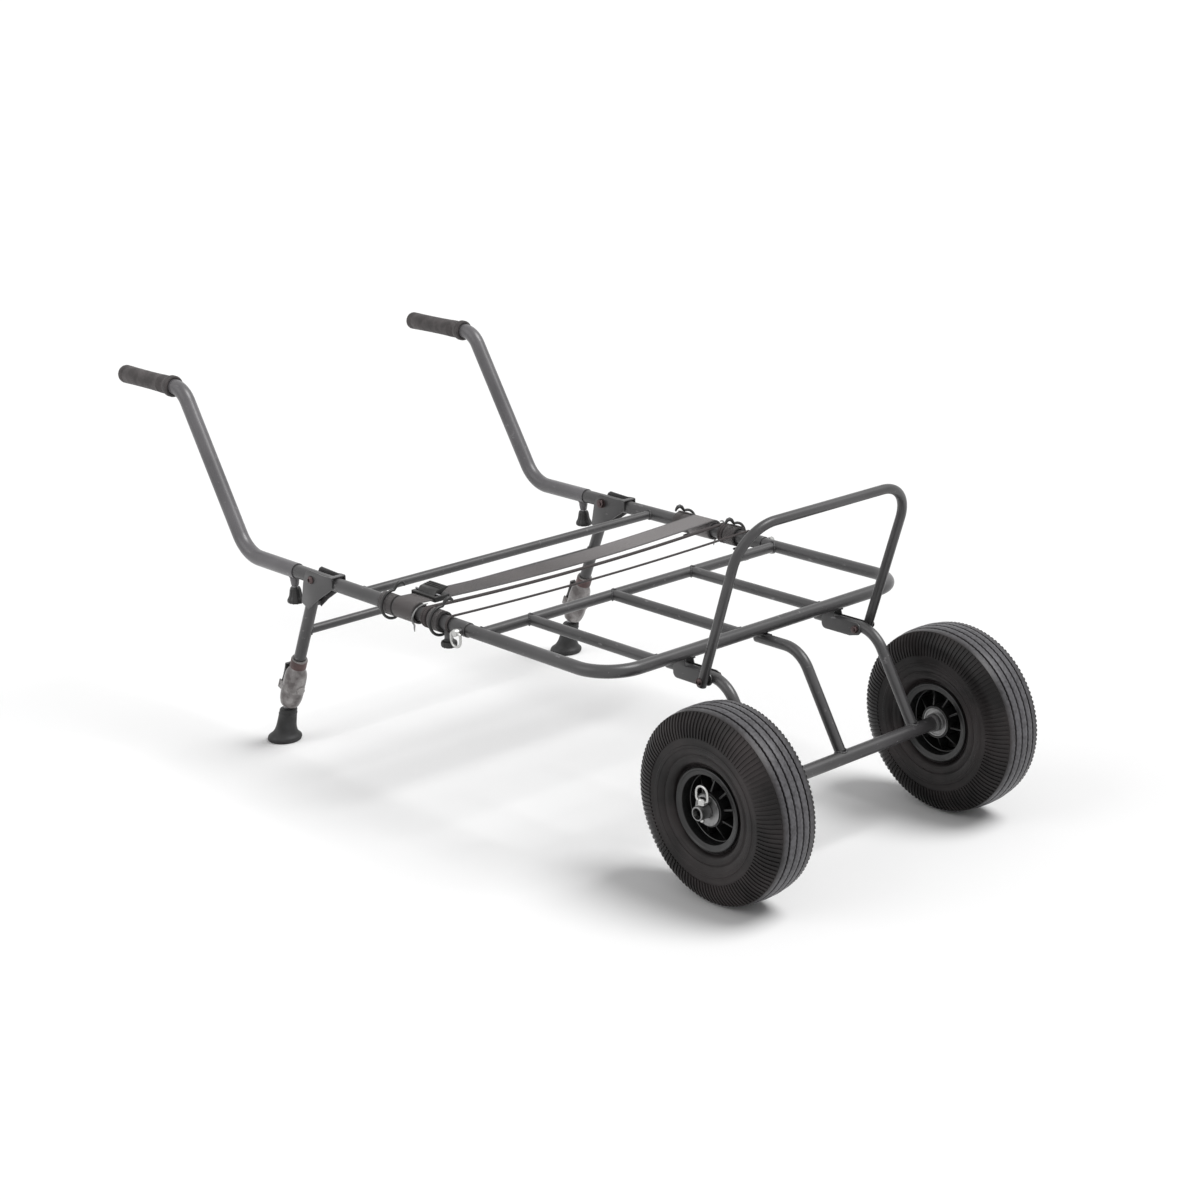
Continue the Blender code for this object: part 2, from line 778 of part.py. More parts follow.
def make_axle_pin(side, sign):
    """Linch pin down through the axle's end, and the ring that hinges in its head."""
    head_base = WHEEL_RADIUS + AXLE_RADIUS + GAP
    head_top = head_base + PIN_HEAD_HEIGHT
    tip = WHEEL_RADIUS - AXLE_RADIUS - AXLE_PIN_TAIL
    profile = [
        (0.0, head_top),
        (PIN_HEAD_RADIUS * 0.7, head_top),
        (PIN_HEAD_RADIUS, head_top - 0.002),
        (PIN_HEAD_RADIUS, head_base),
        (AXLE_PIN_RADIUS, head_base),
        (AXLE_PIN_RADIUS, tip + 0.0015),
        (AXLE_PIN_RADIUS * 0.5, tip),
        (0.0, tip),
    ]
    pin = turned("axle_pin_" + side, profile, "bright_steel", steps=SMALL_SIDES)
    pin.location = (sign * AXLE_PIN_X, 0.0, 0.0)
    pivot = (sign * AXLE_PIN_X, 0.0, head_base + PIN_HEAD_HEIGHT / 2)
    ring = tube(
        "pin_ring_" + side,
        ring_path(PIN_HEAD_RADIUS + GAP, 1),
        RING_WIRE,
        "bright_steel",
        sides=WIRE_SIDES,
    )
    ring.location = pivot


# Front section


def rail_line(name, radius, x, start_y, end_y, z=RAIL_HEIGHT):
    """Cutting cylinder along a rail."""
    return rod(name, (x, start_y, z), (x, end_y, z), radius)


def cross_line(name, radius, y, z=RAIL_HEIGHT, half=RAIL_HALF_WIDTH):
    """Cutting cylinder across the frame."""
    return rod(name, (-half, y, z), (half, y, z), radius)


def make_front_tube():
    """U-shaped front tube. Its sides slide inside the rails, and a slot guides each pin."""
    corners = [
        (-RAIL_HALF_WIDTH, SECTION_END_Y, RAIL_HEIGHT),
        (-RAIL_HALF_WIDTH, FRONT_RUN_Y, RAIL_HEIGHT),
        (RAIL_HALF_WIDTH, FRONT_RUN_Y, RAIL_HEIGHT),
        (RAIL_HALF_WIDTH, SECTION_END_Y, RAIL_HEIGHT),
    ]
    path = rounded_path(corners, [FRONT_CORNER, FRONT_CORNER], 6)
    front = tube("front_tube", path, FRONT_RADIUS, "frame_paint")
    tools = []
    for side, sign in SIDES.items():
        x = sign * RAIL_HALF_WIDTH
        tools.append(
            rail_line(
                "front_bore_" + side,
                FRONT_BORE,
                x,
                SECTION_END_Y - FRONT_BORE_DEPTH,
                SECTION_END_Y + 0.002,
            )
        )
        wide = SECTION_PIN_RADIUS + 2 * GAP
        slot_x = sorted((x + sign * (FRONT_RADIUS - SECTION_SLOT_DEPTH), x + sign * RAIL_RADIUS))
        tools.append(
            block(
                "front_slot_" + side,
                (slot_x[0], SECTION_PIN_Y - wide, RAIL_HEIGHT - wide),
                (slot_x[1], SECTION_PIN_Y + SECTION_TRAVEL + wide, RAIL_HEIGHT + wide),
            )
        )
    return cut(front, *tools)


def make_crossbar(name, y, radius, side_radius):
    """Bar across the frame whose ends are coped to the side tubes."""
    bar = tube(
        name,
        [(-RAIL_HALF_WIDTH, y, RAIL_HEIGHT), (RAIL_HALF_WIDTH, y, RAIL_HEIGHT)],
        radius,
        "frame_paint",
    )
    tools = []
    for side, sign in SIDES.items():
        reach = 3 * side_radius
        tools.append(
            rail_line(
                name + "_cope_" + side,
                side_radius + GAP,
                sign * RAIL_HALF_WIDTH,
                y - reach,
                y + reach,
            )
        )
    return cut(bar, *tools)


def make_deck_bar(name, x):
    """Straight deck bar, coped to the front tube and to the middle crossbar."""
    ends = [(x, FRONT_RUN_Y, RAIL_HEIGHT), (x, MID_BAR_Y, RAIL_HEIGHT)]
    bar = tube(name, ends, DECK_RADIUS, "frame_paint")
    front = cross_line(name + "_front_cope", FRONT_RADIUS + GAP, FRONT_RUN_Y)
    rear = cross_line(name + "_rear_cope", DECK_RADIUS + GAP, MID_BAR_Y)
    return cut(bar, front, rear)


def make_fork(name, x, run_z, end_y):
    """Fork tube from under the front tube, round its bend and down to the axle."""
    corner_y = (run_z - WHEEL_RADIUS) * math.tan(FORK_SLOPE)
    corners = [(x, end_y, run_z), (x, corner_y, run_z), (x, 0.0, WHEEL_RADIUS)]
    path = rounded_path(corners, [FORK_BEND], 5)
    fork = tube(name, path, FORK_RADIUS, "frame_paint", sides=SMALL_SIDES)
    axle_cope = rod(
        name + "_cope",
        (x - 0.03, 0.0, WHEEL_RADIUS),
        (x + 0.03, 0.0, WHEEL_RADIUS),
        AXLE_RADIUS + GAP,
    )
    return cut(fork, axle_cope)


def guard_hole(name, x, half):
    """Cutter for the guard's bolt."""
    return rod(
        name,
        (x - half, GUARD_PIVOT_Y, GUARD_PIVOT_Z),
        (x + half, GUARD_PIVOT_Y, GUARD_PIVOT_Z),
        GUARD_BOLT_RADIUS + GAP,
        sides=SMALL_SIDES,
    )


def bracket_outline():
    """Side view of a bracket, as (y, z) points: ear, top, rear tab and round base."""
    ear = arc((GUARD_PIVOT_Y, GUARD_PIVOT_Z), BRACKET_EAR, -math.pi / 2, -3 * math.pi / 2, 5)
    tab_z = RAIL_HEIGHT - FRONT_RADIUS + 0.0007
    tab_y = FRONT_RUN_Y - 0.001
    base = 0.008
    corner = arc(
        (BRACKET_REAR_Y - base, BRACKET_BASE_Z + base), base, 0.0, -math.pi / 2, 3
    )
    outline = ear + [
        (tab_y - 0.001, GUARD_PIVOT_Z + BRACKET_EAR),
        (tab_y, tab_z),
        (tab_y + BRACKET_TAB, tab_z),
        (tab_y + BRACKET_TAB + 0.005, BRACKET_TOP_Z),
        (BRACKET_REAR_Y, BRACKET_TOP_Z - 0.005),
    ]
    return outline + corner + [(GUARD_PIVOT_Y + 0.012, BRACKET_BASE_Z)]


def make_side_fork(side, sign):
    """Side fork welded into the folded channel that carries it and the guard."""
    x = sign * FORK_SIDE_X
    name = "fork_" + side
    channel = side_plate(name + "_bracket", bracket_outline(), x, 2 * PLATE_OUT)
    inside = block(
        name + "_inside",
        (x - PLATE_IN, 0.0, BRACKET_BASE_Z + BRACKET_SHEET),
        (x + PLATE_IN, BRACKET_REAR_Y + BRACKET_SHEET, RAIL_HEIGHT),
    )
    cope = rod(
        name + "_saddle",
        (x - 0.03, FRONT_RUN_Y, RAIL_HEIGHT),
        (x + 0.03, FRONT_RUN_Y, RAIL_HEIGHT),
        FRONT_RADIUS + GAP,
    )
    channel = cut(channel, inside, cope)
    fork = join(make_fork(name, x, FORK_SIDE_Z, FORK_SIDE_END_Y), channel)
    return cut(fork, guard_hole(name + "_hole", x, 0.02))


def make_guard():
    """Guard loop that leans forwards and folds on two bolts."""
    along = Vector((0.0, -math.sin(GUARD_LEAN), math.cos(GUARD_LEAN)))
    length = GUARD_HEIGHT / along.z
    corners = []
    for sign, reach in ((-1, -GUARD_TAIL), (-1, length), (1, length), (1, -GUARD_TAIL)):
        pivot = Vector((sign * GUARD_X, GUARD_PIVOT_Y, GUARD_PIVOT_Z))
        corners.append(pivot + along * reach)
    path = rounded_path(corners, [GUARD_CORNER, GUARD_CORNER], 5)
    loop = tube("guard_loop", path, GUARD_RADIUS, "frame_paint", sides=SMALL_SIDES)
    tools = [guard_hole("guard_hole_" + side, sign * GUARD_X, 0.01) for side, sign in SIDES.items()]
    return cut(loop, *tools)


def bolt_profile(head_radius, head_height, shank, length):
    """Dome-headed bolt, its head at the top and its shank's end at height zero."""
    return [
        (0.0, length + head_height),
        (head_radius * 0.6, length + head_height * 0.9),
        (head_radius, length + head_height * 0.4),
        (head_radius, length),
        (shank, length),
        (shank, 0.0),
        (0.0, 0.0),
    ]


def bolt_with_nut(name, head_radius, head_height, shank, sign, inner_x, outer_x, y, z):
    """Bolt along X from the outside, with the hexagon nut tight on its inner end."""
    nut_height = 1.6 * shank
    bolt_end = inner_x - GAP - nut_height - 0.002
    profile = bolt_profile(head_radius, head_height, shank, outer_x + GAP - bolt_end)
    bolt = turned(name, profile, "tube_steel", steps=SMALL_SIDES)
    bolt.rotation_euler = (0.0, sign * math.pi / 2, 0.0)
    bolt.location = (sign * bolt_end, y, z)
    nut = rod(
        name + "_nut",
        (sign * (inner_x - GAP - nut_height), y, z),
        (sign * (inner_x - GAP), y, z),
        1.9 * shank,
        sides=6,
    )
    return join(bolt, nut)


def make_guard_bolt(side, sign):
    """Pivot bolt of the guard, through its leg, the bracket and the fork."""
    return bolt_with_nut(
        "guard_bolt_" + side,
        BOLT_HEAD_RADIUS,
        BOLT_HEAD_HEIGHT,
        GUARD_BOLT_RADIUS,
        sign,
        FORK_SIDE_X - PLATE_OUT,
        GUARD_X + GUARD_RADIUS,
        GUARD_PIVOT_Y,
        GUARD_PIVOT_Z,
    )


# Rear section


def make_rail(side, sign):
    """Side rail with its pin boss, its clamp boss and the leg bolt's hole."""
    x = sign * RAIL_HALF_WIDTH
    name = "rail_" + side
    rail = tube(
        name, [(x, RAIL_FRONT_Y, RAIL_HEIGHT), (x, RAIL_REAR_Y, RAIL_HEIGHT)], RAIL_RADIUS, "frame_paint"
    )
    inside = (RAIL_RADIUS + RAIL_BORE) / 2
    pin_boss = rod(
        name + "_pin_boss",
        (x + sign * inside, SECTION_PIN_Y, RAIL_HEIGHT),
        (x + sign * (RAIL_RADIUS + PIN_BOSS_LENGTH), SECTION_PIN_Y, RAIL_HEIGHT),
        PIN_BOSS_RADIUS,
        sides=SMALL_SIDES,
    )
    screw_boss = rod(
        name + "_screw_boss",
        (x, SECTION_KNOB_Y, RAIL_HEIGHT - inside),
        (x, SECTION_KNOB_Y, RAIL_HEIGHT - RAIL_RADIUS - SECTION_BOSS_LENGTH),
        SECTION_BOSS_RADIUS,
        sides=SMALL_SIDES,
    )
    rail = join(rail, pin_boss, screw_boss)
    bore = rail_line(name + "_bore", RAIL_BORE, x, RAIL_FRONT_Y - 0.002, RAIL_REAR_Y + 0.002)
    pin_hole = rod(
        name + "_pin_hole",
        (x, SECTION_PIN_Y, RAIL_HEIGHT),
        (x + sign * (RAIL_RADIUS + 2 * PIN_BOSS_LENGTH), SECTION_PIN_Y, RAIL_HEIGHT),
        SECTION_PIN_RADIUS + GAP,
        sides=SMALL_SIDES,
    )
    screw_hole = rod(
        name + "_screw_hole",
        (x, SECTION_KNOB_Y, RAIL_HEIGHT),
        (x, SECTION_KNOB_Y, RAIL_HEIGHT - RAIL_RADIUS - 2 * SECTION_BOSS_LENGTH),
        SCREW_RADIUS + GAP,
        sides=SMALL_SIDES,
    )
    bolt_hole = rod(
        name + "_bolt_hole",
        (x - 0.02, LEG_PIVOT_Y, RAIL_HEIGHT),
        (x + 0.02, LEG_PIVOT_Y, RAIL_HEIGHT),
        PIVOT_BOLT_RADIUS + GAP,
        sides=SMALL_SIDES,
    )
    return cut(rail, bore, pin_hole, screw_hole, bolt_hole)


def make_section_pin(side, sign):
    """Locking pin that pulls outwards, and the ring that hangs in its head."""
    tip = FRONT_RADIUS - SECTION_SLOT_DEPTH + GAP
    head_base = RAIL_RADIUS + PIN_BOSS_LENGTH + GAP
    head_top = head_base + PIN_HEAD_HEIGHT * 0.8
    head = PIN_HEAD_RADIUS * 0.92
    profile = [
        (0.0, head_top),
        (head * 0.75, head_top),
        (head, head_top - 0.0015),
        (head, head_base),
        (SECTION_PIN_RADIUS, head_base),
        (SECTION_PIN_RADIUS, tip),
        (0.0, tip),
    ]
    pin = turned("section_pin_" + side, profile, "bright_steel", steps=SMALL_SIDES)
    pin.rotation_euler = (0.0, sign * math.pi / 2, 0.0)
    pin.location = (sign * RAIL_HALF_WIDTH, SECTION_PIN_Y, RAIL_HEIGHT)
    ring = tube(
        "pull_ring_" + side, ring_path(head + GAP, -1), RING_WIRE, "bright_steel", sides=WIRE_SIDES
    )
    ring_x = RAIL_HALF_WIDTH + (head_base + head_top) / 2
    ring.location = (sign * ring_x, SECTION_PIN_Y, RAIL_HEIGHT)


def make_section_knob(side, sign):
    """Thumb screw under the rail that clamps the front section."""
    top = RAIL_HEIGHT - RAIL_RADIUS - SECTION_BOSS_LENGTH - GAP
    radius = SECTION_KNOB_RADIUS
    profile = [
        (0.0, RAIL_HEIGHT - RAIL_BORE),
        (SCREW_RADIUS, RAIL_HEIGHT - RAIL_BORE),
        (SCREW_RADIUS, top),
        (radius * 0.6, top),
        (radius * 0.93, top - 0.0035),
        (radius, top - SECTION_KNOB_HEIGHT * 0.5),
        (radius * 0.9, top - SECTION_KNOB_HEIGHT * 0.85),
        (radius * 0.6, top - SECTION_KNOB_HEIGHT),
        (0.0, top - SECTION_KNOB_HEIGHT),
    ]
    knob = turned("section_knob_" + side, profile, "black_plastic", steps=HUB_STEPS)
    knob.location = (sign * RAIL_HALF_WIDTH, SECTION_KNOB_Y, 0.0)


# Handles


def make_handle(side, sign):
    """Cranked handle tube that slides over the rail's rear end."""
    x = sign * RAIL_HALF_WIDTH
    name = "handle_" + side
    end_y = GRIP_END_Y - GRIP_END_WALL - GAP
    corners = [
        (x, HANDLE_FRONT_Y, RAIL_HEIGHT),
        (x, HANDLE_CORNER_Y, RAIL_HEIGHT),
        (x, HANDLE_TOP_Y, HANDLE_TOP_Z),
        (x, end_y, HANDLE_TOP_Z),
    ]
    path = rounded_path(corners, [HANDLE_BEND, HANDLE_TOP_BEND], 4)
    handle = tube(name, path, HANDLE_RADIUS, "handle_paint")
    knob_y = HANDLE_FRONT_Y + HANDLE_KNOB_SETBACK
    boss = rod(
        name + "_boss",
        (x, knob_y, RAIL_HEIGHT - HANDLE_RADIUS + HANDLE_WALL / 2),
        (x, knob_y, RAIL_HEIGHT - HANDLE_RADIUS - HANDLE_BOSS_LENGTH),
        HANDLE_BOSS_RADIUS,
        sides=SMALL_SIDES,
        end_radius=HANDLE_BOSS_RADIUS * 0.73,
    )
    bore = rail_line(
        name + "_bore",
        RAIL_RADIUS + SLIDING_GAP,
        x,
        HANDLE_FRONT_Y - 0.002,
        RAIL_REAR_Y + HANDLE_END_PLAY,
    )
    screw_hole = rod(
        name + "_screw_hole",
        (x, knob_y, RAIL_HEIGHT),
        (x, knob_y, RAIL_HEIGHT - HANDLE_RADIUS - 2 * HANDLE_BOSS_LENGTH),
        SCREW_RADIUS + GAP,
        sides=SMALL_SIDES,
    )
    return cut(join(handle, boss), bore, screw_hole)


def make_grip(side, sign):
    """Rubber grip with a flange, pushed on to the handle's end."""
    inner = HANDLE_RADIUS + GAP
    outer = inner + GRIP_WALL
    profile = [
        (0.0, GRIP_LENGTH),
        (outer * 0.72, GRIP_LENGTH),
        (outer, GRIP_LENGTH - 0.004),
        (outer * 0.96, GRIP_LENGTH * 0.75),
        (outer * 0.96, GRIP_LENGTH * 0.40),
        (outer * 1.01, GRIP_FLANGE_LENGTH + 0.010),
        (outer * 1.03, GRIP_FLANGE_LENGTH),
        (GRIP_FLANGE_RADIUS, GRIP_FLANGE_LENGTH * 0.75),
        (GRIP_FLANGE_RADIUS, GRIP_FLANGE_LENGTH * 0.25),
        (GRIP_FLANGE_RADIUS * 0.9, 0.0),
        (inner, 0.0),
        (inner, GRIP_LENGTH - GRIP_END_WALL),
        (0.0, GRIP_LENGTH - GRIP_END_WALL),
    ]
    grip = turned("grip_" + side, profile, "grip_rubber", steps=HUB_STEPS)
    grip.rotation_euler = (-math.pi / 2, 0.0, 0.0)
    grip.location = (sign * RAIL_HALF_WIDTH, GRIP_END_Y - GRIP_LENGTH, HANDLE_TOP_Z)


def make_handle_knob(side, sign):
    """Bell-shaped knob whose screw clamps the handle to the rail."""
    top = RAIL_HEIGHT - HANDLE_RADIUS - HANDLE_BOSS_LENGTH - GAP
    tip = RAIL_HEIGHT - RAIL_RADIUS - SLIDING_GAP
    height = HANDLE_KNOB_HEIGHT
    profile = [
        (0.0, tip),
        (SCREW_RADIUS, tip),
        (SCREW_RADIUS, top - 0.002),
        (HANDLE_KNOB_TOP * 0.9, top - 0.002),
        (HANDLE_KNOB_TOP, top - 0.005),
        (HANDLE_KNOB_TOP * 1.1, top - height * 0.55),
        (HANDLE_KNOB_BASE * 0.93, top - height * 0.75),
        (HANDLE_KNOB_BASE, top - height * 0.85),
        (HANDLE_KNOB_BASE, top - height * 0.95),
        (HANDLE_KNOB_BASE * 0.8, top - height),
        (0.0, top - height),
    ]
    knob = turned("handle_knob_" + side, profile, "black_plastic", steps=HUB_STEPS)
    knob.location = (sign * RAIL_HALF_WIDTH, HANDLE_FRONT_Y + HANDLE_KNOB_SETBACK, 0.0)


# Legs, in the frame of their pivot: -Z runs down the leg


def leg_point(y_from_pivot, z_from_pivot):
    """World offsets from the pivot turned into the leg's own (y, z)."""
    across = y_from_pivot * math.cos(LEG_LEAN) + z_from_pivot * math.sin(LEG_LEAN)
    along = z_from_pivot * math.cos(LEG_LEAN) - y_from_pivot * math.sin(LEG_LEAN)
    return (across, along)


def yoke_outline():
    """Side view of the yoke's cheek: from the leg up, and forwards to the stop."""
    stop = YOKE_BRIDGE_Y
    high = RAIL_RADIUS + GAP + YOKE_BRIDGE
    length = YOKE_BRIDGE_LENGTH
    return [
        (-LEG_RADIUS, -0.050),
        (LEG_RADIUS, -0.050),
        (0.0165, -0.015),
        (0.0150, 0.0075),
        (0.0060, 0.0125),
        leg_point(-stop + 0.004 + length, high - 0.001),
        leg_point(-stop + length / 2, high),
        leg_point(-stop - length / 2, high),
        leg_point(-stop - length / 2, -0.004),
        (-0.021, -0.028),
    ]


def make_leg(side, sign, carrier):
    """Leg tube with its welded yoke, which straddles the rail and stops on top of it."""
    x = sign * RAIL_HALF_WIDTH
    name = "leg_" + side
    leg = tube(name, [(x, 0.0, -LEG_TOP), (x, 0.0, -LEG_END)], LEG_RADIUS, "frame_paint", carrier)
    shapes = []
    for face in (-1, 1):
        middle = x + face * (YOKE_IN + YOKE_SHEET / 2)
        shapes.append(
            side_plate(name + "_cheek", yoke_outline(), middle, YOKE_SHEET, None, carrier)
        )
    shapes.append(
        block(
            name + "_crosspiece",
            (x - YOKE_OUT + 0.0005, -0.008, -0.049),
            (x + YOKE_OUT - 0.0005, 0.008, -0.040),
            None,
            carrier,
        )
    )
    bridge = block(
        name + "_bridge",
        (x - YOKE_OUT + 0.0005, -YOKE_BRIDGE_Y - YOKE_BRIDGE_LENGTH / 2 + 0.0004, RAIL_RADIUS + GAP),
        (
            x + YOKE_OUT - 0.0005,
            -YOKE_BRIDGE_Y + YOKE_BRIDGE_LENGTH / 2 - 0.0004,
            RAIL_RADIUS + GAP + YOKE_BRIDGE - 0.0004,
        ),
        None,
        carrier,
    )
    bridge.data.transform(Matrix.Rotation(-LEG_LEAN, 4, "X"))
    shapes.append(bridge)
    leg = join(leg, *shapes)
    bore = rod(
        name + "_bore", (x, 0.0, -LEG_BORE_TOP), (x, 0.0, -LEG_END - 0.002), LEG_BORE, None, carrier
    )
    bolt_hole = rod(
        name + "_bolt_hole",
        (x - 0.02, 0.0, 0.0),
        (x + 0.02, 0.0, 0.0),
        PIVOT_BOLT_RADIUS + GAP,
        None,
        carrier,
        SMALL_SIDES,
    )
    return cut(leg, bore, bolt_hole)


def make_leg_brace(carrier):
    """Brace between the legs, coped to both."""
    half = RAIL_HALF_WIDTH
    brace = tube(
        "leg_brace",
        [(-half, 0.0, -BRACE_DROP), (half, 0.0, -BRACE_DROP)],
        BRACE_RADIUS,
        "frame_paint",
        carrier,
        SMALL_SIDES,
    )
    tools = []
    for side, sign in SIDES.items():
        tools.append(
            rod(
                "brace_cope_" + side,
                (sign * half, 0.0, -BRACE_DROP - 0.03),
                (sign * half, 0.0, -BRACE_DROP + 0.03),
                LEG_RADIUS + GAP,
                None,
                carrier,
            )
        )
    return cut(brace, *tools)


def make_leg_clamp(side, sign, carrier):
    """Moulded clamp on the leg's end, with two cheeks that carry its lever."""
    x = sign * RAIL_HALF_WIDTH
    name = "leg_clamp_" + side
    inner = LEG_BORE
    profile = [
        (CLAMP_COLLAR, -CLAMP_TOP),
        (CLAMP_COLLAR, -CLAMP_TOP - 0.020),
        (CLAMP_RADIUS * 0.92, -CLAMP_TOP - 0.029),
        (CLAMP_RADIUS, -CLAMP_TOP - 0.045),
        (CLAMP_RADIUS, -CLAMP_END + 0.016),
        (CLAMP_RADIUS * 0.83, -CLAMP_END),
        (inner, -CLAMP_END),
        (inner, -LEG_END - GAP),
        (LEG_RADIUS + GAP, -LEG_END - GAP),
        (LEG_RADIUS + GAP, -CLAMP_TOP),
    ]
    clamp = turned(name, profile, "clamp_plastic", carrier, HUB_STEPS, closed=True)
    clamp.location = (x, 0.0, 0.0)
    clamp = as_mesh(clamp)
    lever_y = CLAMP_RADIUS + LEVER_BARREL + 2 * GAP
    cheek_in = LEVER_HALF_WIDTH + GAP
    cheeks = []
    for face in (-1, 1):
        low_x, high_x = sorted((x + face * cheek_in, x + face * (cheek_in + CHEEK_WIDTH)))
        cheeks.append(
            block(
                name + "_cheek",
                (low_x, CLAMP_RADIUS * 0.72, -LEVER_PIVOT - 0.008),
                (high_x, lever_y + LEVER_BARREL, -LEVER_PIVOT + 0.008),
                None,
                carrier,
            )
        )
    pin_hole = rod(
        name + "_pin_hole",
        (x - 0.02, lever_y, -LEVER_PIVOT),
        (x + 0.02, lever_y, -LEVER_PIVOT),
        LEVER_PIN + GAP,
        None,
        carrier,
        SMALL_SIDES,
    )
    button = rod(
        name + "_button",
        (x, -CLAMP_RADIUS * 0.8, -LEVER_PIVOT + 0.014),
        (x, -CLAMP_RADIUS - 0.004, -LEVER_PIVOT + 0.014),
        0.0065,
        None,
        carrier,
        SMALL_SIDES,
    )
    return cut(join(clamp, button, *cheeks), pin_hole)


def make_leg_lever(side, sign, carrier):
    """Cam lever that lies up along the clamp and swings out to free the lower leg."""
    x = sign * RAIL_HALF_WIDTH
    name = "leg_lever_" + side
    pivot_y = CLAMP_RADIUS + LEVER_BARREL + 2 * GAP
    barrel = rod(
        name,
        (x - LEVER_HALF_WIDTH, pivot_y, -LEVER_PIVOT),
        (x + LEVER_HALF_WIDTH, pivot_y, -LEVER_PIVOT),
        LEVER_BARREL,
        "black_plastic",
        carrier,
        SMALL_SIDES,
    )
    near = pivot_y - LEVER_BARREL * 0.8
    outline = [
        (near + 0.001, -LEVER_PIVOT),
        (near, -LEVER_PIVOT + 0.010),
        (near, -LEVER_PIVOT + LEVER_LENGTH * 0.7),
        (near + 0.003, -LEVER_PIVOT + LEVER_LENGTH),
        (near + 0.006, -LEVER_PIVOT + LEVER_LENGTH),
        (near + 0.004, -LEVER_PIVOT + LEVER_LENGTH * 0.6),
        (pivot_y + LEVER_BARREL * 0.85, -LEVER_PIVOT),
    ]
    arm = side_plate(name + "_arm", outline, x, 2 * LEVER_HALF_WIDTH - 0.001, None, carrier)
    pin_half = LEVER_HALF_WIDTH + GAP + CHEEK_WIDTH
    pin = rod(
        name + "_pin",
        (x - pin_half, pivot_y, -LEVER_PIVOT),
        (x + pin_half, pivot_y, -LEVER_PIVOT),
        LEVER_PIN,
        None,
        carrier,
        SMALL_SIDES,
    )
    return join(barrel, arm, pin)


def make_lower_leg(side, sign, carrier):
    """Inner leg tube and the rubber foot on its end."""
    x = sign * RAIL_HALF_WIDTH
    tube(
        "leg_slide_" + side,
        [(x, 0.0, -SLIDE_TOP), (x, 0.0, -SLIDE_END)],
        LEG_BORE - SLIDING_GAP,
        "tube_steel",
        carrier,
    )
    radius = FOOT_BASE_RADIUS
    profile = [
        (0.0, FOOT_HEIGHT),
        (FOOT_TOP_RADIUS, FOOT_HEIGHT),
        (FOOT_TOP_RADIUS * 1.12, FOOT_HEIGHT * 0.70),
        (FOOT_TOP_RADIUS * 1.32, FOOT_HEIGHT * 0.38),
        (radius * 0.76, FOOT_HEIGHT * 0.22),
        (radius * 0.98, FOOT_HEIGHT * 0.14),
        (radius, FOOT_HEIGHT * 0.06),
        (radius * 0.96, 0.0),
        (0.0, 0.0),
    ]
    name = "foot_" + side
    foot = as_mesh(turned(name, profile, "black_plastic", steps=TUBE_SIDES))
    top_y = LEG_PIVOT_Y + (RAIL_HEIGHT - FOOT_HEIGHT) * math.tan(LEG_LEAN)
    for vertex in foot.data.vertices:
        vertex.co.y += (FOOT_HEIGHT - vertex.co.z) * FOOT_SHEAR
    foot.location = (x, top_y, 0.0)
    bore = rod(
        name + "_bore",
        (x, 0.0, -SLIDE_END + FOOT_HEIGHT * 2),
        (x, 0.0, -SLIDE_END - GAP),
        LEG_BORE,
        None,
        carrier,
    )
    return cut(foot, bore)


def make_leg_bolt(side, sign):
    """Pivot bolt that holds a leg's yoke to its rail."""
    return bolt_with_nut(
        "leg_bolt_" + side,
        PIVOT_HEAD_RADIUS,
        PIVOT_HEAD_HEIGHT,
        PIVOT_BOLT_RADIUS,
        sign,
        RAIL_HALF_WIDTH - YOKE_OUT,
        RAIL_HALF_WIDTH + YOKE_OUT,
        LEG_PIVOT_Y,
        RAIL_HEIGHT,
    )


# Straps


def roll_line(sign, turns):
    """Middle line of webbing wound round a rail: (x, z, normal x, normal z), free end first."""
    steps = int(turns * TURN_STEPS)
    first = RAIL_RADIUS + STRAP_SEAT + WEB_THICKNESS / 2
    layer = WEB_THICKNESS + WEB_LAYER_GAP
    line = []
    for step in range(steps + 1):
        back = (steps - step) / TURN_STEPS
        angle = math.pi / 2 - back * 2 * math.pi
        radius = first + layer * (turns - back)
        normal = (sign * math.cos(angle), math.sin(angle))
        line.append(
            (
                sign * RAIL_HALF_WIDTH + radius * normal[0],
                RAIL_HEIGHT + radius * normal[1],
                normal[0],
                normal[1],
            )
        )
    return line


def strip_outline(line, thickness):
    """Outline of a strip whose middle line and normals are given."""
    half = thickness / 2
    outside = [(x + half * nx, z + half * nz) for x, z, nx, nz in line]
    inside = [(x - half * nx, z - half * nz) for x, z, nx, nz in line]
    return outside + inside[::-1]


def standing_strip(name, line, middle_y, width, finish=None):
    """Strip with an (x, z) middle line, as wide as given along Y."""
    strip = plate(name, strip_outline(line, WEB_THICKNESS), width, finish)
    strip.rotation_euler = (math.pi / 2, 0.0, 0.0)
    strip.location = (0.0, middle_y, 0.0)
    return strip


def make_web():
    """Webbing strap: broad where it is wound round the rails, narrower across the deck."""
    across = roll_line(-1, WEB_TURNS) + roll_line(1, WEB_TURNS)[::-1]
    broad = WEB_WIDTH + WEB_SPARE
    strip = standing_strip("strap_web", across, WEB_Y + WEB_SPARE / 2, broad, "strap_fabric")
    span_z = across[len(across) // 2][1]
    spare = block(
        "strap_spare",
        (-RAIL_HALF_WIDTH, WEB_Y + WEB_WIDTH / 2, span_z - WEB_THICKNESS / 2 - GAP),
        (RAIL_HALF_WIDTH, WEB_Y + WEB_WIDTH / 2 + 2 * WEB_SPARE, span_z + WEB_THICKNESS),
    )
    return cut(strip, spare)


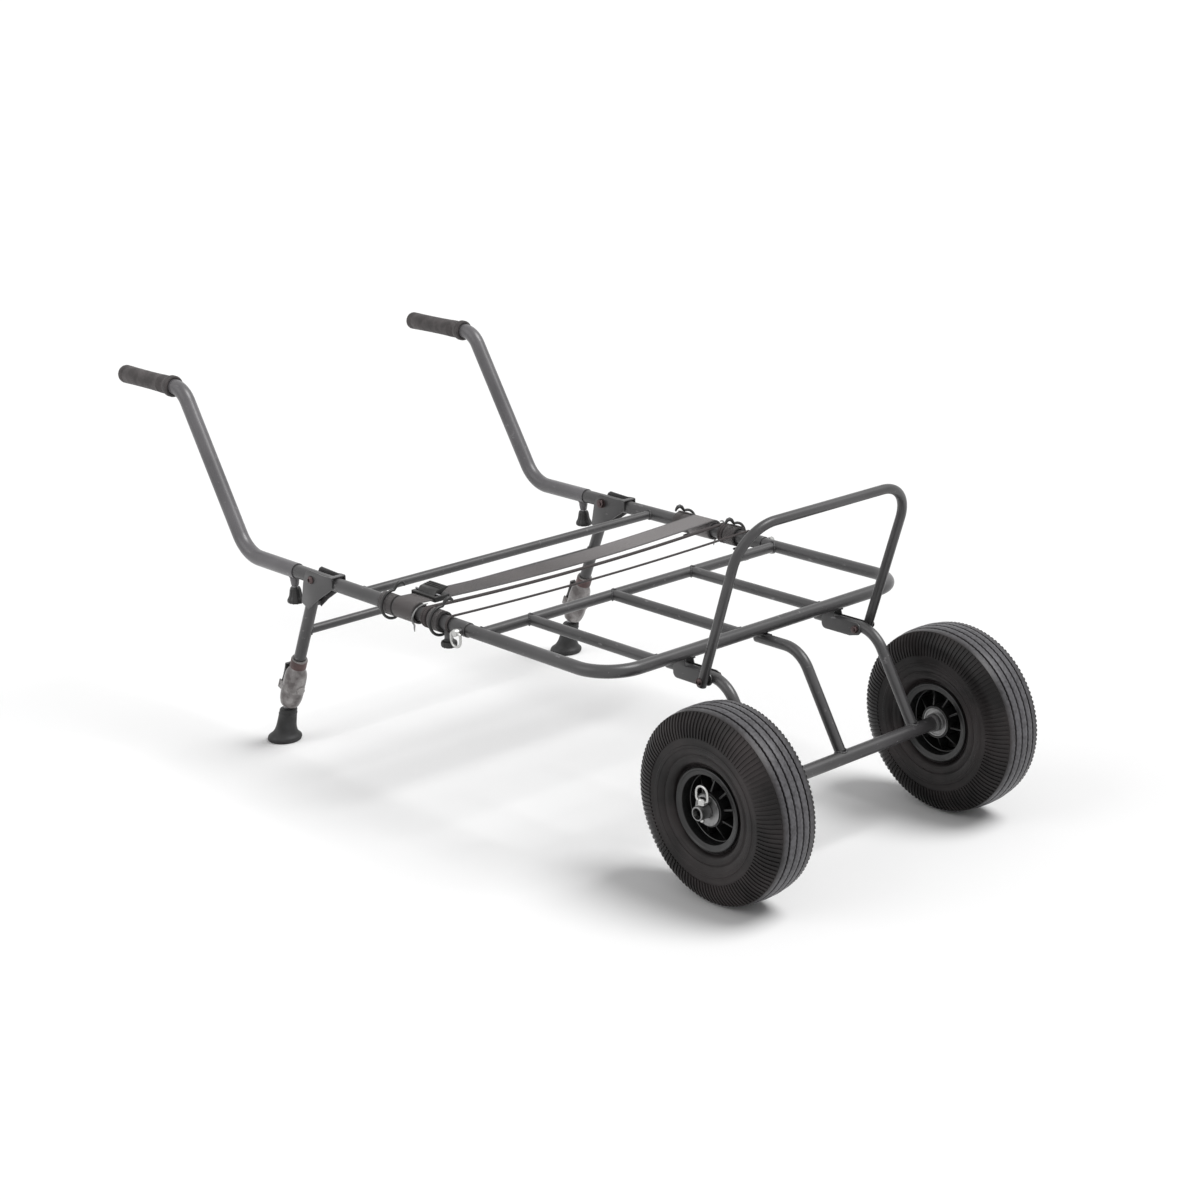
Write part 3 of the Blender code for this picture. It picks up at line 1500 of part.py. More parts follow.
def winding(sign, cord_radius, loops, pitch, y):
    """Cord wound round a rail from its free end to the point where it leaves on top."""
    radius = RAIL_RADIUS + STRAP_SEAT + cord_radius
    count = round(loops * TURN_STEPS)
    points = []
    for step in range(count + 1):
        back = (count - step) / TURN_STEPS
        angle = math.pi / 2 - back * 2 * math.pi
        points.append(
            (
                sign * (RAIL_HALF_WIDTH + radius * math.cos(angle)),
                y - back * pitch,
                RAIL_HEIGHT + radius * math.sin(angle),
            )
        )
    return points


def least_gap(points, cord_radius, skip):
    """Smallest distance between the surfaces of turns that lie beside each other."""
    least = math.inf
    for first in range(len(points)):
        for second in range(first + skip, len(points)):
            least = min(least, (Vector(points[first]) - Vector(points[second])).length)
    return least - 2 * cord_radius


def make_cords():
    """Two shock cords across the rails: the rear one is wound round both rails."""
    rear = winding(-1, CORD_REAR_RADIUS, CORD_REAR_LOOPS, CORD_PITCH, CORD_REAR_Y)
    gap = least_gap(rear, CORD_REAR_RADIUS, TURN_STEPS // 2)
    print(f"Least gap between turns of the rear cord: {gap * 1000:.2f} mm")
    far = winding(1, CORD_REAR_RADIUS, CORD_REAR_LOOPS, CORD_PITCH, CORD_REAR_Y)
    tube("strap_cord_rear", rear + far[::-1], CORD_REAR_RADIUS, "strap_fabric", sides=WIRE_SIDES)
    wraps = CORD_FRONT_WRAP / (2 * math.pi)
    near = winding(-1, CORD_FRONT_RADIUS, wraps, 0.0, CORD_FRONT_Y)
    away = winding(1, CORD_FRONT_RADIUS, wraps, 0.0, CORD_FRONT_Y)
    tube("strap_cord_front", near + away[::-1], CORD_FRONT_RADIUS, "strap_fabric", sides=WIRE_SIDES)


def make_hook(side, sign):
    """Wire hook over the webbing's roll, with its tip standing above the rail."""
    layers = WEB_THICKNESS + (WEB_THICKNESS + WEB_LAYER_GAP) * WEB_TURNS
    radius = RAIL_RADIUS + STRAP_SEAT + layers + HOOK_WIRE + 2 * GAP
    x = sign * RAIL_HALF_WIDTH
    bend = [
        (x + sign * across, HOOK_Y, RAIL_HEIGHT + up)
        for across, up in arc((0.0, 0.0), radius, math.radians(75), math.radians(-100), 8)
    ]
    start = (x - sign * 0.010, HOOK_Y, RAIL_HEIGHT + radius + HOOK_RISE * 0.75)
    tip = (x - sign * 0.018, HOOK_Y, RAIL_HEIGHT + radius + HOOK_RISE * 0.55)
    return tube("strap_hook_" + side, [tip, start] + bend, HOOK_WIRE, "black_plastic", sides=WIRE_SIDES)


def make_buckle():
    """Cam buckle round the webbing near the right rail."""
    reach = WEB_TURNS * (WEB_THICKNESS + WEB_LAYER_GAP)
    middle_z = RAIL_HEIGHT + RAIL_RADIUS + STRAP_SEAT + WEB_THICKNESS / 2 + reach
    half_slot = WEB_THICKNESS / 2 + GAP
    half_height = half_slot + BUCKLE_WALL
    half_width = WEB_WIDTH / 2 + GAP + BUCKLE_WALL
    low_x = -BUCKLE_X - BUCKLE_LENGTH / 2
    high_x = -BUCKLE_X + BUCKLE_LENGTH / 2
    frame = block(
        "strap_buckle",
        (low_x, WEB_Y - half_width, middle_z - half_height),
        (high_x, WEB_Y + half_width, middle_z + half_height),
        "black_plastic",
    )
    lever = plate(
        "buckle_lever",
        [(low_x + 0.004, 0.0), (high_x - 0.004, 0.0), (high_x + 0.004, 0.010), (low_x + 0.012, 0.008)],
        WEB_WIDTH * 0.8,
    )
    lever.rotation_euler = (math.pi / 2, 0.0, 0.0)
    lever.location = (0.0, WEB_Y, middle_z + half_height - 0.001)
    slot = block(
        "buckle_slot",
        (low_x - 0.002, WEB_Y - WEB_WIDTH / 2 - GAP, middle_z - half_slot),
        (high_x + 0.002, WEB_Y + WEB_WIDTH / 2 + GAP, middle_z + half_slot),
    )
    return cut(join(frame, lever), slot)


# Assembly


def hang_moving_pieces(legs):
    """Give each moving body an empty on its joint's axis."""
    parts = PARTS.objects
    front = empty("front_section_axis", (0.0, FRONT_RUN_Y, RAIL_HEIGHT), ROOT)
    fixed = ["front_tube", "crossbar_mid", "deck_bar_left", "deck_bar_centre", "deck_bar_right"]
    fixed += ["fork_left", "fork_centre", "fork_right", "axle_tube"]
    for side in SIDES:
        fixed += ["guard_bolt_" + side, "axle_washer_" + side, "wheel_axis_" + side]
    for name in fixed:
        hang(parts[name], front)
    guard = hang(empty("guard_axis", (0.0, GUARD_PIVOT_Y, GUARD_PIVOT_Z), ROOT), front)
    hang(parts["guard_loop"], guard)
    for side, sign in SIDES.items():
        pin = hang(empty("axle_pin_axis_" + side, (sign * AXLE_PIN_X, 0.0, WHEEL_RADIUS), ROOT), front)
        hang(parts["axle_pin_" + side], pin)
        hang(parts["pin_ring_" + side], pin)
        rail_point = (sign * RAIL_HALF_WIDTH, SECTION_PIN_Y, RAIL_HEIGHT)
        puller = empty("section_pin_axis_" + side, rail_point, ROOT)
        hang(parts["section_pin_" + side], puller)
        hang(parts["pull_ring_" + side], puller)
        end_point = (sign * RAIL_HALF_WIDTH, HANDLE_FRONT_Y, RAIL_HEIGHT)
        sleeve = empty("handle_axis_" + side, end_point, ROOT)
        for name in ("handle_", "grip_", "handle_knob_"):
            hang(parts[name + side], sleeve)
        lever_y = CLAMP_RADIUS + LEVER_BARREL + 2 * GAP
        lever_point = (sign * RAIL_HALF_WIDTH, lever_y, -LEVER_PIVOT)
        lever = empty("leg_lever_axis_" + side, lever_point, legs)
        hang(parts["leg_lever_" + side], lever)
        lower = empty("leg_slide_axis_" + side, (sign * RAIL_HALF_WIDTH, 0.0, -LEG_END), legs)
        hang(parts["leg_slide_" + side], lower)
        hang(parts["foot_" + side], lower)


def main():
    """Build every piece of the barrow."""
    make_axle()
    make_front_tube()
    make_crossbar("crossbar_mid", MID_BAR_Y, DECK_RADIUS, FRONT_RADIUS)
    make_crossbar("crossbar_rear", REAR_BAR_Y, REAR_BAR_RADIUS, RAIL_RADIUS)
    make_deck_bar("deck_bar_left", DECK_OFFSET + DECK_PITCH)
    make_deck_bar("deck_bar_centre", DECK_OFFSET)
    make_deck_bar("deck_bar_right", DECK_OFFSET - DECK_PITCH)
    centre_z = RAIL_HEIGHT - FRONT_RADIUS - GAP - FORK_RADIUS
    make_fork("fork_centre", 0.0, centre_z, FRONT_RUN_Y + FORK_CENTRE_TAIL)
    make_guard()
    make_web()
    make_cords()
    make_buckle()
    legs = empty("leg_axis", (0.0, LEG_PIVOT_Y, RAIL_HEIGHT), ROOT, (LEG_LEAN, 0.0, 0.0))
    make_leg_brace(legs)
    for side, sign in SIDES.items():
        make_wheel(side, sign)
        make_washer(side, sign)
        make_axle_pin(side, sign)
        make_side_fork(side, sign)
        make_guard_bolt(side, sign)
        make_rail(side, sign)
        make_section_pin(side, sign)
        make_section_knob(side, sign)
        make_handle(side, sign)
        make_grip(side, sign)
        make_handle_knob(side, sign)
        make_leg(side, sign, legs)
        make_leg_clamp(side, sign, legs)
        make_leg_lever(side, sign, legs)
        make_lower_leg(side, sign, legs)
        make_leg_bolt(side, sign)
        make_hook(side, sign)
    hang_moving_pieces(legs)
    bpy.context.view_layer.update()


main()
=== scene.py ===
"""Flat barrow: the finished looks of its pieces, with a plain studio and a camera.

Sizes are in metres. Pieces are modelled in the barrow's working frame, with the origin
on the floor under the middle of the axle, +X to the left side, -Y to the front and +Z up.
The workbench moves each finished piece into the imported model's frame.
"""

import json
import logging
import math
from dataclasses import dataclass
from enum import Enum
from typing import Callable, Sequence

import bmesh
import bpy
from mathutils import Matrix, Vector


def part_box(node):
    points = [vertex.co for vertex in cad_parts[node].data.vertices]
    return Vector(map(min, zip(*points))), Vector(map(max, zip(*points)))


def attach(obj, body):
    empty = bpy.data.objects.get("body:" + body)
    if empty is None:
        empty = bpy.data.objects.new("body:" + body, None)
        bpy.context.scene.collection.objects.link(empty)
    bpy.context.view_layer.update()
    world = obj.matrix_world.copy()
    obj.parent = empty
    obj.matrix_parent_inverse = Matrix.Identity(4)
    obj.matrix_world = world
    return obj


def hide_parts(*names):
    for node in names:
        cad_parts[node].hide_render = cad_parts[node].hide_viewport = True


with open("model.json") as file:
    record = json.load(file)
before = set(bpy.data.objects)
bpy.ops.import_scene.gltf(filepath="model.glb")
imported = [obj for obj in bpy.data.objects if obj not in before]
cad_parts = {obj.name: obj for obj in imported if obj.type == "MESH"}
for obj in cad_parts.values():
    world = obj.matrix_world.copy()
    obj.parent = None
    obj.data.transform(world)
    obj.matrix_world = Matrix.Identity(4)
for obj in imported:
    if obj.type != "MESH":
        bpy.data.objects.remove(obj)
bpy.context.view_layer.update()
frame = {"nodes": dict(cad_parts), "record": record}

LOG = logging.getLogger("flat_barrow")
Point = tuple[float, float, float]
Colour = tuple[float, float, float]
Pair = tuple[float, float]
Outline = list[Pair]
Piece = bpy.types.Object
QUARTER = math.pi / 2
LEFTWARDS, REARWARDS, UPWARDS = (1.0, 0.0, 0.0), (0.0, 1.0, 0.0), (0.0, 0.0, 1.0)


@dataclass(frozen=True)
class Layout:
    """Sizes that more than one sub-assembly shares."""

    rail_z: float = 0.295
    rail_x: float = 0.300
    rail: float = 0.011
    front: float = 0.0095
    front_y: float = 0.151
    mid_y: float = 0.420
    deck: float = 0.008
    axle_z: float = 0.1375
    axle: float = 0.010
    guard_y: float = 0.105
    guard_z: float = 0.268
    rail_end: float = 0.965
    web_width: float = 0.050


LAYOUT = Layout()
AXLE_Y = (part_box("axle_tube")[0].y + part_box("axle_tube")[1].y) / 2


class Side(Enum):
    """Left and right side of the barrow, as the sign of X."""

    LEFT = 1
    RIGHT = -1

    @property
    def word(self) -> str:
        """The side's name in node names."""
        return self.name.lower()

    @property
    def rail(self) -> float:
        """Place of this side's rail across the barrow."""
        return self.value * LAYOUT.rail_x

    @property
    def turn(self) -> Matrix:
        """Turn that points an upright shape out to this side."""
        return Matrix.Rotation(self.value * QUARTER, 3, "Y")


# Finishes


class Graph:
    """Node tree of one material, with short ways to add its nodes."""

    def __init__(self, name: str) -> None:
        """Start a material with a Principled shader.

        Args:
            name: The material's name.
        """
        self.material = bpy.data.materials.new(name)
        self.material.use_nodes = True
        self.tree = self.material.node_tree
        self.shader = self.tree.nodes["Principled BSDF"]
        self.place = self.add("TexCoord", {}).outputs["Object"]

    def join(self, value: object, socket: bpy.types.NodeSocket) -> None:
        """Link a socket, or write a plain value, to an input.

        Args:
            value: Output socket, number or colour.
            socket: The input that takes it.
        """
        if isinstance(value, bpy.types.NodeSocket):
            self.tree.links.new(value, socket)
        elif isinstance(value, tuple) and len(value) == 3 and len(socket.default_value) == 4:
            socket.default_value = (*value, 1.0)
        else:
            socket.default_value = value

    def give(self, name: str, value: object) -> None:
        """Set or link one of the shader's own inputs."""
        self.join(value, self.shader.inputs[name])

    def add(self, kind: str, inputs: dict[int | str, object], **settings: str) -> bpy.types.Node:
        """Add a shader node.

        Args:
            kind: Its type.
            inputs: A socket or a plain value for each input, by its name or number.
            **settings: The node's own settings.

        Returns:
            The node.
        """
        node = self.tree.nodes.new("ShaderNode" + kind)
        for name, value in settings.items():
            setattr(node, name, value)
        for name, value in inputs.items():
            self.join(value, node.inputs[name])
        return node

    def noise(self, scale: float, detail: float, stretch: Point = (1.0, 1.0, 1.0)) -> object:
        """Noise from 0 to 1 over the piece, by its cells in a metre, finer layers and stretch."""
        place = self.add("Mapping", {"Vector": self.place, "Scale": stretch}).outputs["Vector"]
        return self.add("TexNoise", {"Vector": place, "Scale": scale, "Detail": detail}).outputs[0]

    def remap(self, value: object, low: float, high: float, start: float, end: float) -> object:
        """Move the values from low to high to those from start to end, clamped."""
        inputs = {"Value": value, "From Min": low, "From Max": high, "To Min": start, "To Max": end}
        return self.add("MapRange", inputs).outputs["Result"]

    def math(self, operation: str, first: object, second: object = 0.0) -> object:
        """One arithmetic step on sockets or numbers."""
        return self.add("Math", {0: first, 1: second}, operation=operation).outputs[0]

    def wave(self, value: object, length: float) -> object:
        """Angle that makes a full turn in each length."""
        return self.math("MULTIPLY", value, 2 * math.pi / length)

    def mix(self, share: object, first: object, second: object) -> object:
        """Mix two colours, with the second one's share."""
        return self.add("Mix", {0: share, 6: first, 7: second}, data_type="RGBA").outputs[2]

    def split(self, vector: object) -> list[object]:
        """Sockets of a vector's three parts."""
        return list(self.add("SeparateXYZ", {"Vector": vector}).outputs)

    def uv(self) -> list[object]:
        """Sockets of the piece's own map: across or around it, and along it in metres."""
        return self.split(self.add("UVMap", {}, uv_map="run").outputs["UV"])[:2]

    def bump(self, height: object, distance: float, strength: float = 1.0) -> None:
        """Raise the surface by a height.

        Args:
            height: Socket from 0 to 1.
            distance: Height in metres at 1.
            strength: Share of the effect.
        """
        node = self.add("Bump", {"Distance": distance, "Strength": strength, "Height": height})
        earlier = self.shader.inputs["Normal"]
        if earlier.is_linked:
            self.tree.links.new(earlier.links[0].from_socket, node.inputs["Normal"])
        self.tree.links.new(node.outputs["Normal"], earlier)


@dataclass(frozen=True)
class Finish:
    """A surface finish that becomes one material. Its slot field is not used."""

    name: str
    colour: Colour
    shade: Colour
    roughness: float = 0.5
    slot: str = ""

    def material(self) -> bpy.types.Material:
        """Make the finish's material once, and reuse it afterwards.

        Returns:
            The material.
        """
        name = f"{self.name}_finish"
        known = bpy.data.materials.get(name)
        if known:
            return known
        graph = Graph(name)
        self.dress(graph)
        graph.material.diffuse_color = (*self.colour, 1.0)
        return graph.material

    def dress(self, graph: Graph) -> None:
        """Add the finish's own nodes to a material's node tree."""
        raise NotImplementedError(graph.material.name)

    def vary_roughness(self, graph: Graph, value: object, low: float, high: float) -> None:
        """Let the roughness follow a value, from low to high about the finish's own."""
        rough = graph.remap(value, 0.3, 0.7, self.roughness + low, self.roughness + high)
        graph.give("Roughness", rough)


@dataclass(frozen=True)
class PowderCoat(Finish):
    """Satin powder coat: orange-peel grain, cloudy tone and small pale scuffs."""

    worn: Colour = (0.30, 0.29, 0.30)
    clouds: float = 9.0
    peel: float = 900.0
    scuffs: float = 150.0
    peel_depth: float = 0.00008

    def dress(self, graph: Graph) -> None:
        """Add the cloud, grain and scuffs.

        Args:
            graph: The material's node tree.
        """
        cloud = graph.noise(self.clouds, 4.0)
        grain = graph.noise(self.peel, 2.0)
        scuff = graph.remap(graph.noise(self.scuffs, 6.0, (1.0, 0.35, 1.0)), 0.66, 0.76, 0.0, 0.55)
        tone = graph.mix(graph.remap(cloud, 0.35, 0.68, 0.0, 1.0), self.shade, self.colour)
        graph.give("Base Color", graph.mix(scuff, tone, self.worn))
        self.vary_roughness(graph, cloud, 0.08, -0.06)
        graph.give("Coat Weight", 0.25)
        graph.give("Coat Roughness", 0.3)
        graph.bump(grain, self.peel_depth, 0.6)


@dataclass(frozen=True)
class BareEnds(PowderCoat):
    """Powder coat on the axle, which stops where the wheels slide on."""

    limit: float = 0.2655
    edge: float = 0.0006
    steel: Colour = (0.24, 0.24, 0.24)

    def dress(self, graph: Graph) -> None:
        """Add the coat, and the bare steel beyond the limit on both sides.

        Args:
            graph: The material's node tree.
        """
        super().dress(graph)
        across = graph.math("ABSOLUTE", graph.split(graph.place)[0])
        bare = graph.remap(across, self.limit - self.edge, self.limit, 0.0, 1.0)
        painted = graph.shader.inputs["Base Color"].links[0].from_socket
        graph.give("Base Color", graph.mix(bare, painted, self.steel))
        graph.give("Metallic", bare)


@dataclass(frozen=True)
class TyreRubber(Finish):
    """Vulcanised rubber with a dusty bloom, fine pores and a paler tread, which is partly wear and partly
    painted highlight.
    """

    # Pale tread colour: partly wear, partly a painted highlight for the shine on the ribs.
    worn: Colour = (0.105, 0.103, 0.110)
    worn_from: float = 0.1338
    worn_to: float = 0.1362
    dust: float = 13.0
    pale_patches: float = 190.0
    pores: float = 1500.0
    pore_depth: float = 0.00003

    def dress(self, graph: Graph) -> None:
        """Add the bloom, the paler tread, partly wear and partly painted highlight, and the pores.

        Args:
            graph: The material's node tree.
        """
        bloom = graph.noise(self.dust, 5.0)
        pores = graph.noise(self.pores, 2.0)
        dust = graph.remap(bloom, 0.40, 0.72, 0.0, 1.0)
        _, forward, up = graph.split(graph.place)
        forward = graph.math("SUBTRACT", forward, AXLE_Y)
        up = graph.math("SUBTRACT", up, LAYOUT.axle_z)
        square = graph.math("MULTIPLY", forward, forward)
        square = graph.math("ADD", square, graph.math("MULTIPLY", up, up))
        # Painted highlight, partly wear too: the tread is painted paler all round, broken into patches.
        tread = graph.remap(graph.math("SQRT", square), self.worn_from, self.worn_to, 0.0, 1.0)
        pale_patchiness = graph.remap(graph.noise(self.pale_patches, 4.0), 0.35, 0.6, 0.55, 1.0)
        tread = graph.math("MULTIPLY", tread, pale_patchiness)
        tone = graph.mix(dust, self.shade, self.colour)
        graph.give("Base Color", graph.mix(tread, tone, self.worn))
        graph.give("Specular IOR Level", 0.22)
        self.vary_roughness(graph, bloom, -0.10, 0.08)
        graph.bump(pores, self.pore_depth, 0.7)


@dataclass(frozen=True)
class Moulding(Finish):
    """Moulded plastic or rubber with a spark-eroded grain."""

    grain: float = 700.0
    depth: float = 0.00010
    mottle: float = 60.0

    def dress(self, graph: Graph) -> None:
        """Add the grain and a slight change of tone.

        Args:
            graph: The material's node tree.
        """
        tone = graph.noise(self.mottle, 3.0)
        share = graph.remap(tone, 0.38, 0.66, 0.0, 1.0)
        graph.give("Base Color", graph.mix(share, self.shade, self.colour))
        self.vary_roughness(graph, tone, 0.06, -0.06)
        graph.bump(graph.noise(self.grain, 2.0), self.depth, 0.6)


@dataclass(frozen=True)
class Plating(Finish):
    """Plated steel with drawing lines and dull spots."""

    lines: Point = (1.0, 1.0, 9.0)
    drawing: float = 240.0
    spots: float = 95.0
    line_depth: float = 0.00003

    def dress(self, graph: Graph) -> None:
        """Add the drawing lines and the spots.

        Args:
            graph: The material's node tree.
        """
        drawn = graph.noise(self.drawing, 3.0, self.lines)
        spots = graph.remap(graph.noise(self.spots, 5.0), 0.55, 0.72, 0.0, 1.0)
        graph.give("Metallic", 1.0)
        graph.give("Base Color", graph.mix(spots, self.colour, self.shade))
        self.vary_roughness(graph, drawn, -0.07, 0.10)
        graph.bump(drawn, self.line_depth, 0.5)


@dataclass(frozen=True)
class Webbing(Finish):
    """Flat woven webbing: ribs along it, a weft across, dark selvedges, painted shade in the weave's low
    spots and a painted sheen on its far part.
    """

    rib: float = 0.0021
    weft: float = 0.0012
    selvedge: float = 0.0215
    hem: float = 0.002
    dark: Colour = (0.018, 0.016, 0.016)
    # Painted shade for the low spots of the weave.
    gap: Colour = (0.02, 0.018, 0.018)
    # Painted sheen: a paler colour on the far part of the span, for light that shines off it.
    painted_sheen: Colour = (0.27, 0.25, 0.25)
    sheen_from: float = 0.46
    sheen_to: float = 0.64
    patches: float = 7.0
    weave_depth: float = 0.00035

    def dress(self, graph: Graph) -> None:
        """Add the ribs, the weft, the selvedges, a patchy tone, painted shade in the weave's low spots and a
        painted sheen on its far part.

        Args:
            graph: The material's node tree.
        """
        across, along = graph.uv()
        ribs = graph.math("SINE", graph.wave(across, self.rib))
        steps = graph.math("ROUND", graph.math("DIVIDE", across, self.rib / 2))
        turn = graph.math("MULTIPLY", steps, math.pi)
        phase = graph.math("ADD", graph.wave(along, self.weft), turn)
        height = graph.math("MULTIPLY", graph.math("ABSOLUTE", ribs), graph.math("SINE", phase))
        height = graph.remap(height, -1.0, 1.0, 0.0, 1.0)
        out = graph.math("ABSOLUTE", across)
        edge = graph.remap(out, self.selvedge - self.hem, self.selvedge, 0.0, 0.7)
        fade = graph.remap(graph.noise(self.patches, 4.0), 0.35, 0.65, 0.0, 1.0)
        tone = graph.mix(fade, self.shade, self.colour)
        # Painted sheen: the webbing is painted paler from the middle of the span to its far end.
        sheen_share = graph.remap(along, self.sheen_from, self.sheen_to, 0.0, 0.75)
        tone = graph.mix(sheen_share, tone, self.painted_sheen)
        # Painted shade: the weave's low spots are painted darker.
        tone = graph.mix(graph.remap(height, 0.0, 1.0, 0.35, 0.0), tone, self.gap)
        graph.give("Base Color", graph.mix(edge, tone, self.dark))
        graph.give("Roughness", self.roughness)
        graph.give("Sheen Weight", 0.35)
        graph.bump(height, self.weave_depth)


@dataclass(frozen=True)
class Braid(Finish):
    """Braided cover of a shock cord, with strands that cross round it."""

    strands: float = 8.0
    lay: float = 0.0052
    strand_depth: float = 0.0004

    def dress(self, graph: Graph) -> None:
        """Add the crossing strands, with painted shade in the hollows between them.

        Args:
            graph: The material's node tree.
        """
        around, along = graph.uv()
        turn = graph.math("MULTIPLY", around, 2 * math.pi * self.strands / 2)
        climb = graph.wave(along, self.lay)
        left = graph.math("SINE", graph.math("ADD", turn, climb))
        right = graph.math("SINE", graph.math("SUBTRACT", turn, climb))
        height = graph.remap(graph.math("MULTIPLY", left, right), -1.0, 1.0, 0.0, 1.0)
        # Painted shade: the hollows between the strands take the darker tone, the crowns the lighter.
        tone = graph.mix(height, self.shade, self.colour)
        graph.give("Base Color", tone)
        graph.give("Roughness", self.roughness)
        graph.bump(height, self.strand_depth)


FRAME_PAINT = PowderCoat("frame_paint", (0.056, 0.054, 0.056), (0.030, 0.029, 0.030), 0.38)
AXLE_PAINT = BareEnds("axle_paint", (0.056, 0.054, 0.056), (0.030, 0.029, 0.030), 0.38, "frame_paint")
HANDLE_PAINT = PowderCoat("handle_paint", (0.125, 0.119, 0.126), (0.072, 0.069, 0.073), 0.36)
WELD_PAINT = PowderCoat("weld_paint", (0.055, 0.053, 0.055), (0.030, 0.029, 0.031), 0.48, "frame_paint")
TYRE_RUBBER = TyreRubber("tyre_rubber", (0.036, 0.030, 0.030), (0.007, 0.006, 0.006), 0.40)
TUBE_RUBBER = TyreRubber("tube_rubber", (0.030, 0.030, 0.031), (0.020, 0.020, 0.020), 0.60)
RIM_PLASTIC = Moulding("rim_plastic", (0.013, 0.013, 0.013), (0.006, 0.006, 0.006), 0.34)
BLACK_PLASTIC = Moulding("black_plastic", (0.020, 0.019, 0.019), (0.010, 0.010, 0.010), 0.42)
# Painted highlight: the pale tone of this mottle stands in for glints on the glossy moulding.
CLAMP_PLASTIC_PAINTED_GLINTS = Moulding("clamp_plastic", (0.300, 0.285, 0.280), (0.105, 0.092, 0.090), 0.28)
CLAMP_BAND = Moulding("clamp_band", (0.095, 0.048, 0.046), (0.055, 0.028, 0.027), 0.45, "clamp_plastic")
FOOT_RUBBER = Moulding("foot_rubber", (0.020, 0.020, 0.021), (0.010, 0.010, 0.010), 0.58, grain=500.0)
GRIP_RUBBER = Moulding(
    "grip_rubber", (0.075, 0.066, 0.066), (0.042, 0.037, 0.037), 0.68, grain=420.0, depth=0.00025
)
BRIGHT_STEEL = Plating("bright_steel", (0.50, 0.50, 0.49), (0.32, 0.32, 0.31), 0.24)
DULL_STEEL = Plating("dull_steel", (0.25, 0.25, 0.25), (0.13, 0.13, 0.13), 0.34, "bright_steel")
TUBE_STEEL = Plating("tube_steel", (0.34, 0.34, 0.35), (0.20, 0.20, 0.21), 0.36)
BLACK_STEEL = Plating("black_steel", (0.100, 0.075, 0.075), (0.050, 0.040, 0.040), 0.38, "tube_steel")
STRAP_WEB = Webbing("strap_webbing", (0.070, 0.056, 0.055), (0.034, 0.027, 0.027), 0.85, "strap_fabric")
STRAP_CORD = Braid("strap_cord", (0.080, 0.068, 0.068), (0.024, 0.020, 0.020), 0.80, "strap_fabric")


# Workbench


